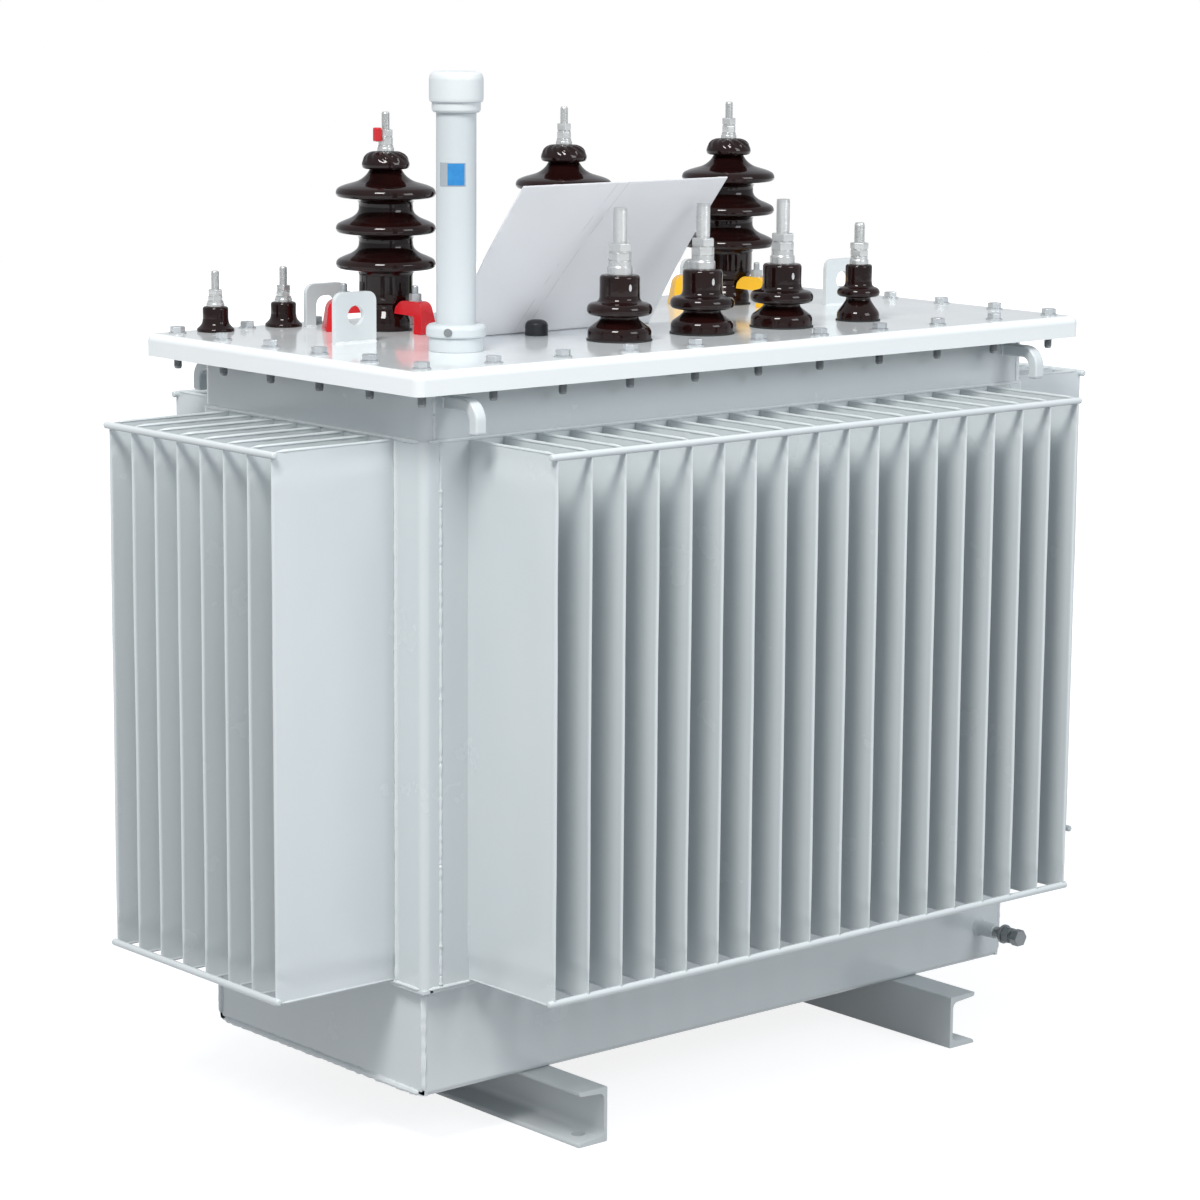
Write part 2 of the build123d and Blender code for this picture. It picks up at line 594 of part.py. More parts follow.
def neutral_insulator(x):
    """Neutral porcelain: the slimmer bushing of the low-voltage row."""
    foot, waist, body = NEUTRAL_FOOT_RADIUS, NEUTRAL_WAIST_RADIUS, NEUTRAL_BODY_RADIUS
    foot_z, low = NEUTRAL_FOOT_HEIGHT, NEUTRAL_SHED_LEVEL
    high = low + NEUTRAL_SHED_THICKNESS
    rounding = NEUTRAL_SHED_THICKNESS / 2 - 1
    corners = [
        (0, 0), (foot, 0), (foot, foot_z - 3), (foot - 3, foot_z), (waist + 3, foot_z + 13),
        (waist, low - 2), (foot, low, rounding), (foot, high, rounding), (waist, high + 4),
        (body, high + 7), (body, NEUTRAL_HEIGHT - 4), (body - 3, NEUTRAL_HEIGHT), (0, NEUTRAL_HEIGHT),
    ]
    return Pos(x, LV_ROW_Y, COVER_TOP) * turned(corners)


def small_insulator(x):
    """Small porcelain on its seat at the rear left corner."""
    foot, body = SMALL_FOOT_RADIUS, SMALL_BODY_RADIUS
    points = [
        (0, 0), (foot, 0), (foot, 4), (foot - 5, 7), (body + 0.5, 13), (body, 16),
        (body, SMALL_HEIGHT - 4), (body - 3, SMALL_HEIGHT), (0, SMALL_HEIGHT),
    ]
    return Pos(x, SMALL_BUSHING_Y, COVER_TOP) * turned(points)


def gauge_base():
    """Collar and clamp ring that carry the gauge tube."""
    ring, collar = GAUGE_RING_RADIUS, GAUGE_COLLAR_RADIUS
    seat, top = GAUGE_COLLAR_HEIGHT, GAUGE_COLLAR_HEIGHT + GAUGE_RING_HEIGHT
    bore = GAUGE_TUBE_RADIUS - GAUGE_TUBE_WALL
    points = [(bore, 0), (collar, 0), (collar, seat), (ring - 1, seat), (ring, seat + 1),
              (ring, top - 4), (ring - 4, top - 1), (GAUGE_TUBE_RADIUS + 2, top), (bore, top)]
    return Pos(GAUGE_X, GAUGE_Y, COVER_TOP) * turned(points)


def window_block(inner, outer, clearance):
    """The curved block that the gauge window fills, at the tube's own axis."""
    ring = Cylinder(outer, GAUGE_WINDOW_HEIGHT - 2 * clearance) - Cylinder(inner, GAUGE_WINDOW_HEIGHT)
    half = GAUGE_WINDOW_WIDTH / 2 - clearance
    slice_ = block(0, outer + 1, -half, half, -GAUGE_WINDOW_HEIGHT, GAUGE_WINDOW_HEIGHT)
    return Pos(0, 0, GAUGE_WINDOW_LEVEL) * Rot(0, 0, GAUGE_WINDOW_BEARING) * (ring & slice_)


def gauge_tube():
    """Upright gauge tube with its window opening."""
    low = GAUGE_COLLAR_HEIGHT + GAUGE_RING_HEIGHT
    high = low + GAUGE_TUBE_LENGTH
    tube = post(0, 0, low, high, GAUGE_TUBE_RADIUS)
    tube -= post(0, 0, low - 1, high + 1, GAUGE_TUBE_RADIUS - GAUGE_TUBE_WALL)
    tube -= window_block(GAUGE_TUBE_RADIUS - GAUGE_TUBE_WALL - 1, GAUGE_TUBE_RADIUS + 1, 0)
    return Pos(GAUGE_X, GAUGE_Y, COVER_TOP) * tube


def gauge_window():
    """Curved pane in the window opening, slightly set back."""
    inner = GAUGE_TUBE_RADIUS - GAUGE_TUBE_WALL
    pane = window_block(inner, GAUGE_TUBE_RADIUS - GAUGE_WINDOW_INSET, 0)
    return Pos(GAUGE_X, GAUGE_Y, COVER_TOP) * pane


def gauge_cap():
    """Screw cap on its neck at the top of the gauge."""
    low = GAUGE_COLLAR_HEIGHT + GAUGE_RING_HEIGHT + GAUGE_TUBE_LENGTH
    step = low + GAUGE_NECK_HEIGHT
    top = step + GAUGE_CAP_HEIGHT
    cap, throat = GAUGE_CAP_RADIUS, GAUGE_NECK_RADIUS
    points = [(0, low), (throat - 2, low), (throat, low + 3), (throat, step), (cap - 1, step),
              (cap, step + 2), (cap, top - 7), (cap - 3, top - 3), (cap - 12, top - 1), (0, top)]
    return Pos(GAUGE_X, GAUGE_Y, COVER_TOP) * turned(points)


def pocket_cap():
    """Domed cap on the thermometer pocket."""
    radius, height = POCKET_RADIUS, POCKET_HEIGHT
    points = [(0, 0), (radius, 0), (radius, height - 7), (radius - 1.5, height - 4),
              (radius - 6, height - 1.3), (0, height)]
    return Pos(POCKET_X, POCKET_Y, COVER_TOP) * turned(points)


def earth_stud():
    """Earthing boss on the tray wall with a bolt, washer, nut and hexagon head."""
    nut_start = EARTH_BOSS_LENGTH + EARTH_STUD_REACH + EARTH_WASHER_THICKNESS
    head_start = nut_start + EARTH_HEAD_LENGTH + EARTH_HEAD_GAP
    head_end = head_start + EARTH_HEAD_LENGTH
    stack = post(0, 0, 0, EARTH_BOSS_LENGTH, EARTH_BOSS_RADIUS)
    stack += post(0, 0, EARTH_BOSS_LENGTH, head_end, EARTH_STUD_RADIUS)
    stack += post(0, 0, nut_start - EARTH_WASHER_THICKNESS, nut_start, EARTH_WASHER_RADIUS)
    for start in (nut_start, head_start):
        stack += hexagon(0, 0, start, start + EARTH_HEAD_LENGTH, EARTH_HEAD_ACROSS_FLATS)
    place = Pos(TRAY_HALF_X - EARTH_END_DISTANCE, -TRAY_HALF_Y, SKID_HEIGHT + EARTH_HEIGHT)
    return place * Rot(90, 0, 0) * stack


def build():
    """Make every node of the transformer and write it."""
    os.makedirs("parts", exist_ok=True)
    to_right = Rot(0, 0, 180)

    save("skid_left", skid())
    save("skid_right", to_right * skid())
    save("tank_floor", tray_floor())
    save("tray_wall_front", long_tray_wall())
    save("tray_wall_back", to_right * long_tray_wall())
    save("tray_wall_left", short_tray_wall())
    save("tray_wall_right", to_right * short_tray_wall())

    upright = corner_post()
    save("corner_post_front_left", upright)
    save("corner_post_back_right", to_right * upright)
    save("corner_post_front_right", mirror(upright, Plane.YZ))
    save("corner_post_back_left", mirror(upright, Plane.XZ))

    long_half = TANK_HALF_X - POST_SHORT_LEG
    short_half = TANK_HALF_Y - POST_LONG_LEG
    long_row = fin_row(long_half, LONG_FIN_SPACING, LONG_FIN_END_MARGIN)
    short_row = fin_row(short_half, SHORT_FIN_SPACING, SHORT_FIN_END_MARGIN)
    front = fin_panel(long_half, TANK_HALF_Y, long_row, LONG_ROD_REACH, LONG_FOLD_SETBACK)
    left = Rot(0, 0, -90) * fin_panel(short_half, TANK_HALF_X, short_row, SHORT_ROD_REACH,
                                      SHORT_FOLD_SETBACK)
    save("fin_panel_front", front)
    save("fin_panel_back", to_right * front)
    save("fin_panel_left", left)
    save("fin_panel_right", to_right * left)
    long_rods = fin_rods(TANK_HALF_Y, long_row, LONG_ROD_REACH)
    short_rods = [Rot(0, 0, -90) * rod for rod in fin_rods(TANK_HALF_X, short_row, SHORT_ROD_REACH)]
    save("fin_rods_long", Compound(long_rods + [to_right * rod for rod in long_rods]))
    save("fin_rods_short", Compound(short_rods + [to_right * rod for rod in short_rods]))

    save("tank_neck", neck())
    save("rim_flange", rim_flange())
    save("cover_gasket", Compound(cover_gasket()))
    save("cover", cover())
    hook = lashing_hook()
    hooks = [hook, to_right * hook, mirror(hook, Plane.YZ), mirror(hook, Plane.XZ)]
    save("lashing_hooks", Compound(hooks))
    lugs = [eye_lug(side * MAIN_LUG_X, MAIN_LUG_Y) for side in (-1, 1)]
    lugs += [arched_lug(side * REAR_LUG_X, REAR_LUG_Y) for side in (-1, 1)]
    save("lifting_lugs", Compound(lugs))

    terminals = []
    for place, name in ((-1, "left"), (0, "middle"), (1, "right")):
        x = place * HV_PITCH
        save(f"hv_insulator_{name}", hv_insulator(x))
        save(f"hv_clamp_{name}", Compound([claw(x, angle) for angle in CLAW_ANGLES]))
        base = COVER_TOP + HV_KNOB_BASE + HV_KNOB_HEIGHT
        terminals.append(terminal(x, HV_ROW_Y, base, HV_STUD_RADIUS, HV_STUD_LENGTH,
                                  HV_WASHER_RADIUS, HV_NUT_ACROSS_FLATS, HV_NUT_HEIGHT,
                                  HV_WASHER_HEIGHT))
    save("hv_terminals", Compound(terminals))

    terminals = []
    for place, name in ((-1, "left"), (0, "middle"), (1, "right")):
        x = place * LV_PITCH
        save(f"lv_insulator_{name}", lv_insulator(x))
        terminals.append(terminal(x, LV_ROW_Y, COVER_TOP + LV_HEIGHT, LV_STUD_RADIUS, LV_STUD_LENGTH,
                                  LV_WASHER_RADIUS, LV_NUT_ACROSS_FLATS, LV_NUT_HEIGHT,
                                  LV_WASHER_HEIGHT))
    x = 2 * LV_PITCH
    save("lv_insulator_neutral", neutral_insulator(x))
    terminals.append(terminal(x, LV_ROW_Y, COVER_TOP + NEUTRAL_HEIGHT, NEUTRAL_STUD_RADIUS,
                              NEUTRAL_STUD_LENGTH, NEUTRAL_WASHER_RADIUS,
                              NEUTRAL_NUT_ACROSS_FLATS, NEUTRAL_NUT_HEIGHT,
                              NEUTRAL_WASHER_HEIGHT))
    save("lv_terminals", Compound(terminals))

    small_places = [-COVER_HALF_X + distance for distance in SMALL_BUSHING_END_DISTANCES]
    save("small_insulators", Compound([small_insulator(x) for x in small_places]))
    save("small_terminals", Compound([
        terminal(x, SMALL_BUSHING_Y, COVER_TOP + SMALL_HEIGHT, SMALL_STUD_RADIUS, SMALL_STUD_LENGTH,
                 SMALL_WASHER_RADIUS, SMALL_NUT_ACROSS_FLATS, SMALL_NUT_HEIGHT,
                 SMALL_WASHER_HEIGHT)
        for x in small_places
    ]))

    save("gauge_base", gauge_base())
    save("gauge_tube", gauge_tube())
    save("gauge_window", gauge_window())
    save("gauge_cap", gauge_cap())
    save("pocket_cap", pocket_cap())
    save("earth_stud", earth_stud())


build()
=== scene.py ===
"""Looks of an oil-filled three-phase distribution transformer with a corrugated-fin tank.

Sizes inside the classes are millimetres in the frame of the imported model. A piece turns
them into metres when it becomes a Blender object. The long side runs along X and the
low-voltage side faces -Y.
"""

import logging
import math
from collections.abc import Callable
from dataclasses import dataclass, field
from enum import Enum

import bmesh
import bpy
from mathutils import Matrix, Vector, noise


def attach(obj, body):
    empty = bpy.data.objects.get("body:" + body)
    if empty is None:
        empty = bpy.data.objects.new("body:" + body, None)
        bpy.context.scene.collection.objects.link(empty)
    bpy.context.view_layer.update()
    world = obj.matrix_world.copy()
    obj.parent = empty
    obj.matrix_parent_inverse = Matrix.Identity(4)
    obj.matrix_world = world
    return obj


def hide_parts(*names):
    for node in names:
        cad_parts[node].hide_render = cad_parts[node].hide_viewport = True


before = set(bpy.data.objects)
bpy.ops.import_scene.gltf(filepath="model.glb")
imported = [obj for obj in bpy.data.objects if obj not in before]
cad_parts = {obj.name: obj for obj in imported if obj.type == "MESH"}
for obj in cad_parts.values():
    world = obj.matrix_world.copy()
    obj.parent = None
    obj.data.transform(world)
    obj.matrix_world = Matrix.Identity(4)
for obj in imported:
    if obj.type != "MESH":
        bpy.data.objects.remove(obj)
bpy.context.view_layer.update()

LOG = logging.getLogger("transformer")
MM = 0.001
FULL_TURN = 2 * math.pi
SHARP_ANGLE = math.radians(40)
MERGE_DISTANCE = 1e-4
COVER_TOP = 1092.0
CHAMFER = 0.9
CORNERS = ((-1, -1), (1, -1), (1, 1), (-1, 1))
PLAIN_WHITE = (1.0, 1.0, 1.0, 1.0)

# A place in the frame, and a corner of an outline: two measures and its rounding.
Point = tuple[float, float, float]
Corner = tuple[float, float, float]


class Slot(Enum):
    """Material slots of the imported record."""

    TANK_PAINT = "tank_paint"
    RUBBER = "gasket_rubber"
    GLAZE = "brown_glaze"
    RED = "red_paint"
    GREEN = "green_paint"
    YELLOW = "yellow_paint"
    TINNED = "tinned_metal"
    GAUGE = "gauge_plastic"
    WHITE = "white_plastic"
    BLUE = "blue_indicator"
    BLACK = "black_plastic"
    DARK_STEEL = "dark_steel"


class Axis(Enum):
    """The three directions of the frame."""

    X = (1.0, 0.0, 0.0)
    Y = (0.0, 1.0, 0.0)
    Z = (0.0, 0.0, 1.0)


# Mirrorings that carry a part from the front left corner to each corner.
QUARTERS = {"front_left": (), "front_right": (Axis.X,), "back_left": (Axis.Y,),
            "back_right": (Axis.X, Axis.Y)}


def smooth_step(value: float, start: float, end: float) -> float:
    """Rise from 0 at start to 1 at end with soft ends.

    Args:
        value: where to read the step.
        start: value below which the step is 0.
        end: value above which the step is 1.

    Returns:
        A number from 0 to 1.
    """
    share = min(1.0, max(0.0, (value - start) / (end - start)))
    return share * share * (3 - 2 * share)


# Mesh making


def take_mesh(bm: bmesh.types.BMesh, name: str) -> bpy.types.Mesh:
    """Turn a bmesh into a mesh and let go of it.

    Args:
        bm: the bmesh, which is freed.
        name: what the mesh is called.

    Returns:
        The mesh.
    """
    mesh = bpy.data.meshes.new(name)
    bm.to_mesh(mesh)
    bm.free()
    return mesh


def rise(edge: bmesh.types.BMEdge) -> float:
    """How much higher one end of an edge is than the other."""
    return abs(edge.verts[0].co.z - edge.verts[1].co.z)


def put_in_scene(name: str, data: bpy.types.ID) -> bpy.types.Object:
    """Make an object of a mesh, lamp or camera and link it to the scene.

    Args:
        name: what the object is called.
        data: the mesh, lamp or camera.

    Returns:
        The object.
    """
    made = bpy.data.objects.new(name, data)
    bpy.context.scene.collection.objects.link(made)
    return made


class Solid:
    """One closed form under construction, in millimetres."""

    def __init__(self) -> None:
        """Start with an empty mesh."""
        self.bm = bmesh.new()

    @classmethod
    def lathe(cls, profile: list[Corner], segments: int = 48, arc: int = 4,
              ring: bool = False) -> "Solid":
        """Turn a half profile about Z.

        Args:
            profile: radius, height and rounding of each corner, from the axis to the axis.
            segments: steps of the full turn.
            arc: steps of each rounded corner.
            ring: whether the profile closes on itself, clear of the axis.

        Returns:
            The turned solid.
        """
        made = cls()
        bm = made.bm
        verts = made._wire([(radius, 0.0, height) for radius, height, _ in profile], ring)
        made._round_corners(verts, [corner[2] for corner in profile], arc)
        bmesh.ops.spin(bm, geom=bm.verts[:] + bm.edges[:], cent=(0, 0, 0), axis=Axis.Z.value,
                       angle=FULL_TURN, steps=segments, use_merge=True)
        bmesh.ops.remove_doubles(bm, verts=bm.verts, dist=MERGE_DISTANCE)
        return made.face_outwards()

    @classmethod
    def plate(cls, outline: list[Corner], thickness: float, arc: int = 6,
              hole: tuple | None = None) -> "Solid":
        """Raise a flat outline in the XY plane to a plate.

        Args:
            outline: x, y and rounding of each corner, in order.
            thickness: how far the plate rises along Z.
            arc: steps of each rounded corner.
            hole: x, y and radius of a round hole, or None.

        Returns:
            The plate, its lower face at z = 0.
        """
        made = cls()
        bm = made.bm
        verts = made._wire([(x, y, 0.0) for x, y, _ in outline], True)
        made._round_corners(verts, [corner[2] for corner in outline], arc)
        if hole:
            x, y, radius = hole
            bmesh.ops.create_circle(bm, segments=32, radius=radius,
                                    matrix=Matrix.Translation((x, y, 0)))
        bmesh.ops.triangle_fill(bm, use_beauty=True, use_dissolve=hole is None, edges=bm.edges[:])
        return made._raise(thickness)

    @classmethod
    def band(cls, half_x: float, half_y: float, corner: float, width: float, low: float,
             height: float) -> "Solid":
        """A closed band round the tank.

        Args:
            half_x: half its outer length.
            half_y: half its outer width.
            corner: its outer corner radius.
            width: how wide the band is, inwards.
            low: height of its underside.
            height: how tall it is.

        Returns:
            The band.
        """
        made = cls()
        for inset in (0.0, width):
            x, y = half_x - inset, half_y - inset
            verts = made._wire([(sx * x, sy * y, 0.0) for sx, sy in CORNERS], True)
            made._round_corners(verts, [max(2.0, corner - inset)] * 4, 8)
        bmesh.ops.bridge_loops(made.bm, edges=made.bm.edges[:])
        return made._raise(height).move(0, 0, low)

    @classmethod
    def box(cls, low: Point, high: Point) -> "Solid":
        """A box between two corners.

        Args:
            low: the corner with the least values.
            high: the opposite corner.

        Returns:
            The box.
        """
        made = cls()
        size = [b - a for a, b in zip(low, high)]
        middle = [(a + b) / 2 for a, b in zip(low, high)]
        bmesh.ops.create_cube(made.bm, size=1.0)
        bmesh.ops.scale(made.bm, vec=size, verts=made.bm.verts)
        return made.move(*middle)

    @classmethod
    def rod(cls, radius: float, length: float, segments: int = 24) -> "Solid":
        """An upright round or many-sided rod standing on z = 0.

        Args:
            radius: its radius, measured to the corners.
            length: height of the rod.
            segments: how many sides it has.

        Returns:
            The rod.
        """
        made = cls()
        bmesh.ops.create_cone(made.bm, cap_ends=True, segments=segments, radius1=radius,
                              radius2=radius, depth=length)
        return made.move(0, 0, length / 2)

    @classmethod
    def bead(cls, start: Point, end: Point, radius: float, seed: int, step: float = 4.0,
             ripple: float = 0.3) -> "Solid":
        """A weld bead: an uneven round seam from one point to another.

        Args:
            start: middle of the seam's first end.
            end: middle of its last end.
            radius: mean radius.
            seed: chooses the seam's own unevenness.
            step: distance between two rings.
            ripple: share of the radius by which the rings differ.

        Returns:
            The seam.
        """
        made = cls()
        bm = made.bm
        run = Vector(end) - Vector(start)
        turn = run.to_track_quat("Z", "Y").to_matrix().to_4x4()
        count = max(2, round(run.length / step))
        bmesh.ops.create_circle(bm, cap_ends=True, segments=8, radius=radius / 2,
                                matrix=Matrix.Translation(start) @ turn)
        ring = bm.faces[:]
        last = 0.5
        for index in range(1, count + 1):
            ring = made.grow(ring, run / count, index == 1)
            slow = noise.noise((index * 0.31, seed * 3.7, 0.0))
            quick = noise.noise((index * 1.13, seed * 5.1, 4.0))
            size = max(0.5, 1.0 + ripple * (1.2 * slow + 1.5 * quick)) if index < count else 0.5
            middle = Vector(start) + run * (index / count)
            bmesh.ops.scale(bm, vec=(size / last,) * 3, verts=ring[0].verts[:],
                            space=Matrix.Translation(-middle))
            last = size
        return made.face_outwards()

    def grow(self, layer: list, lift: Vector, first: bool) -> list:
        """Extrude faces onwards and leave none of them inside the solid.

        Args:
            layer: the faces at the growing end.
            lift: how far they move on.
            first: whether they are the solid's own foot, which stays.

        Returns:
            The faces at the new end.
        """
        grown = bmesh.ops.extrude_face_region(self.bm, geom=layer, use_keep_orig=first)
        if not first:
            bmesh.ops.delete(self.bm, geom=layer, context="FACES_ONLY")
        end = [f for f in grown["geom"] if isinstance(f, bmesh.types.BMFace)]
        bmesh.ops.translate(self.bm, verts=list({v for f in end for v in f.verts}), vec=lift)
        return end

    def _wire(self, points: list[Point], closed: bool) -> list:
        """Join points by edges, round to the first one if the wire is closed.

        Args:
            points: the wire's points, in order.
            closed: whether the last meets the first.

        Returns:
            The wire's vertices, in order.
        """
        verts = [self.bm.verts.new(point) for point in points]
        for first, second in zip(verts, verts[1:] + (verts[:1] if closed else [])):
            self.bm.edges.new((first, second))
        return verts

    def _raise(self, height: float) -> "Solid":
        """Raise the flat faces made so far to a closed form.

        Args:
            height: how far they rise along Z.

        Returns:
            The same solid.
        """
        raised = bmesh.ops.extrude_face_region(self.bm, geom=self.bm.faces[:], use_keep_orig=True)
        tops = [v for v in raised["geom"] if isinstance(v, bmesh.types.BMVert)]
        bmesh.ops.translate(self.bm, verts=tops, vec=(0, 0, height))
        return self.face_outwards()

    def _round_corners(self, verts: list, roundings: list[float], arc: int) -> None:
        """Turn corners of a wire into arcs.

        Args:
            verts: corners of the wire.
            roundings: radius of each, 0 for a sharp one.
            arc: steps of each arc.
        """
        for vert, rounding in zip(verts, roundings):
            if rounding > 0:
                bmesh.ops.bevel(self.bm, geom=[vert], offset=rounding, segments=arc, profile=0.5,
                                affect="VERTICES", material=-1, clamp_overlap=True)

    def face_outwards(self) -> "Solid":
        """Turn every face to the outside."""
        bmesh.ops.recalc_face_normals(self.bm, faces=self.bm.faces)
        return self

    def round_edges(self, radius: float, segments: int = 2, angle: float = 40.0,
                    pick: Callable | None = None) -> "Solid":
        """Round the edges where faces meet sharply.

        Args:
            radius: size of the rounding.
            segments: steps of the rounding.
            angle: smallest angle in degrees between faces that counts as sharp.
            pick: test on an edge, or None for every sharp edge.

        Returns:
            The same solid.
        """
        limit = math.radians(angle)
        edges = [e for e in self.bm.edges if e.is_manifold and e.calc_face_angle() > limit]
        edges = [e for e in edges if pick is None or pick(e)]
        bmesh.ops.bevel(self.bm, geom=edges, offset=radius, segments=segments, profile=0.5,
                        affect="EDGES", material=-1, clamp_overlap=True)
        return self

    def move(self, x: float, y: float, z: float) -> "Solid":
        """Shift the solid."""
        bmesh.ops.translate(self.bm, verts=self.bm.verts, vec=(x, y, z))
        return self

    def turn(self, degrees: float, axis: Axis) -> "Solid":
        """Turn the solid about an axis through the origin.

        Args:
            degrees: how far it turns.
            axis: the axis.

        Returns:
            The same solid.
        """
        bmesh.ops.rotate(self.bm, cent=(0, 0, 0), verts=self.bm.verts,
                         matrix=Matrix.Rotation(math.radians(degrees), 3, axis.value))
        return self

    def flip(self, *axes: Axis) -> "Solid":
        """Mirror the solid across the planes that some axes stand on.

        Args:
            axes: the axes, none for a plain part.

        Returns:
            The same solid.
        """
        for axis in axes:
            factor = [1 - 2 * part for part in axis.value]
            bmesh.ops.scale(self.bm, vec=factor, verts=self.bm.verts)
            self.face_outwards()
        return self

    def reshape(self, rule: Callable[[Vector], Vector]) -> "Solid":
        """Move every vertex to where a rule puts it.

        Args:
            rule: takes a place and gives the new one.

        Returns:
            The same solid.
        """
        for vert in self.bm.verts:
            vert.co = rule(vert.co)
        return self


class Piece:
    """A named object of the transformer, put together from solids."""

    def __init__(self, name: str) -> None:
        """Start an empty piece.

        Args:
            name: what the object is called.
        """
        self.name = name
        self.bm = bmesh.new()

    def add(self, *solids: Solid) -> "Piece":
        """Take solids into the piece and let go of them.

        Args:
            solids: the solids, which are freed.

        Returns:
            The same piece.
        """
        for solid in solids:
            carrier = take_mesh(solid.bm, "carrier")
            self.bm.from_mesh(carrier)
            bpy.data.meshes.remove(carrier)
        return self

    def finish(self, finish: "Finish", *replaced: str) -> bpy.types.Object:
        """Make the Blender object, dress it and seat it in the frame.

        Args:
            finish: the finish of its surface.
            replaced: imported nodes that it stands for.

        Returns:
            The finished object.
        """
        bmesh.ops.scale(self.bm, vec=(MM, MM, MM), verts=self.bm.verts)
        for face in self.bm.faces:
            face.smooth = True
        for edge in self.bm.edges:
            if edge.is_manifold and edge.calc_face_angle() > SHARP_ANGLE:
                edge.smooth = False
        mesh = take_mesh(self.bm, self.name)
        made = put_in_scene(self.name, mesh)
        mesh.materials.append(finish.material())
        even = made.modifiers.new("even shading", "WEIGHTED_NORMAL")
        even.keep_sharp = True
        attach(made, "root")
        if replaced:
            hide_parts(*replaced)
        LOG.info("%s: %d faces", self.name, len(mesh.polygons))
        return made


# Finishes


class Board:
    """Adds the nodes of one tree and joins them."""

    def __init__(self, tree: bpy.types.NodeTree) -> None:
        """Work on a node tree."""
        self.tree = tree

    def add(self, kind: str, **settings: object) -> bpy.types.Node:
        """Add a node and set its own properties.

        Args:
            kind: the node's type name.
            settings: properties of the node itself.

        Returns:
            The node.
        """
        node = self.tree.nodes.new(kind)
        for name, value in settings.items():
            setattr(node, name, value)
        return node

    def feed(self, node: bpy.types.Node, **sources: object) -> bpy.types.Node:
        """Give sockets a value or a link.

        Args:
            node: the node whose sockets are fed.
            sources: socket name with underscores for spaces, and an output socket or a value.

        Returns:
            The same node.
        """
        for name, source in sources.items():
            self.set(node.inputs[name.replace("_", " ")], source)
        return node

    def set(self, socket: bpy.types.NodeSocket, source: object) -> None:
        """Give one socket a link where the source is an output, else a value.

        Args:
            socket: the input that is fed.
            source: an output socket or a value.
        """
        if isinstance(source, bpy.types.NodeSocket):
            self.tree.links.new(source, socket)
        else:
            socket.default_value = source

    def math(self, operation: str, first: object, second: object = 0.0) -> bpy.types.NodeSocket:
        """A sum on two numbers or sockets.

        Args:
            operation: which sum.
            first: a number or a socket.
            second: a number or a socket.

        Returns:
            The result.
        """
        node = self.add("ShaderNodeMath", operation=operation)
        for index, source in enumerate((first, second)):
            self.set(node.inputs[index], source)
        return node.outputs[0]

    def mix(self, share: object, first: object, second: object) -> bpy.types.NodeSocket:
        """A blend of two colours.

        Args:
            share: how much of the second, 0 to 1.
            first: a colour or a socket.
            second: a colour or a socket.

        Returns:
            The blended colour.
        """
        node = self.add("ShaderNodeMix", data_type="RGBA")
        for index, source in ((0, share), (6, first), (7, second)):
            self.set(node.inputs[index], source)
        return node.outputs[2]

    def place(self) -> bpy.types.NodeSocket:
        """Where a point lies on the object."""
        return self.add("ShaderNodeTexCoord").outputs["Object"]

    def effect(self, tree: bpy.types.NodeTree, **sources: object) -> bpy.types.Node:
        """Add a shared effect and feed its sockets."""
        return self.feed(self.add("ShaderNodeGroup", node_tree=tree), **sources)

    def ramp(self, source: bpy.types.NodeSocket, low: float, high: float, start: object = 0.0,
             end: object = 1.0) -> bpy.types.NodeSocket:
        """Stretch a value from one range to another, held inside it.

        Args:
            source: the value.
            low: value that becomes start.
            high: value that becomes end.
            start: result at low, a number or a socket.
            end: result at high, a number or a socket.

        Returns:
            The stretched value.
        """
        node = self.add("ShaderNodeMapRange")
        self.feed(node, Value=source, From_Min=low, From_Max=high, To_Min=start, To_Max=end)
        return node.outputs[0]

    def noise(self, where: bpy.types.NodeSocket, scale: object,
              detail: float = 3.0) -> bpy.types.NodeSocket:
        """Cloudy noise over a place.

        Args:
            where: the place.
            scale: waves per metre.
            detail: how many finer layers.

        Returns:
            The noise, about 0.3 to 0.7.
        """
        node = self.add("ShaderNodeTexNoise")
        self.feed(node, Vector=where, Scale=scale, Detail=detail, Roughness=0.55)
        return node.outputs["Fac"]


def rgba(red: float, green: float, blue: float) -> tuple[float, float, float, float]:
    """A display colour from 0 to 255 as the linear colour that Blender takes.

    Args:
        red: red part, 0 to 255.
        green: green part.
        blue: blue part.

    Returns:
        The linear colour with full cover.
    """
    parts = [value / 255 for value in (red, green, blue)]
    linear = [p / 12.92 if p <= 0.04045 else ((p + 0.055) / 1.055) ** 2.4 for p in parts]
    return (*linear, 1.0)


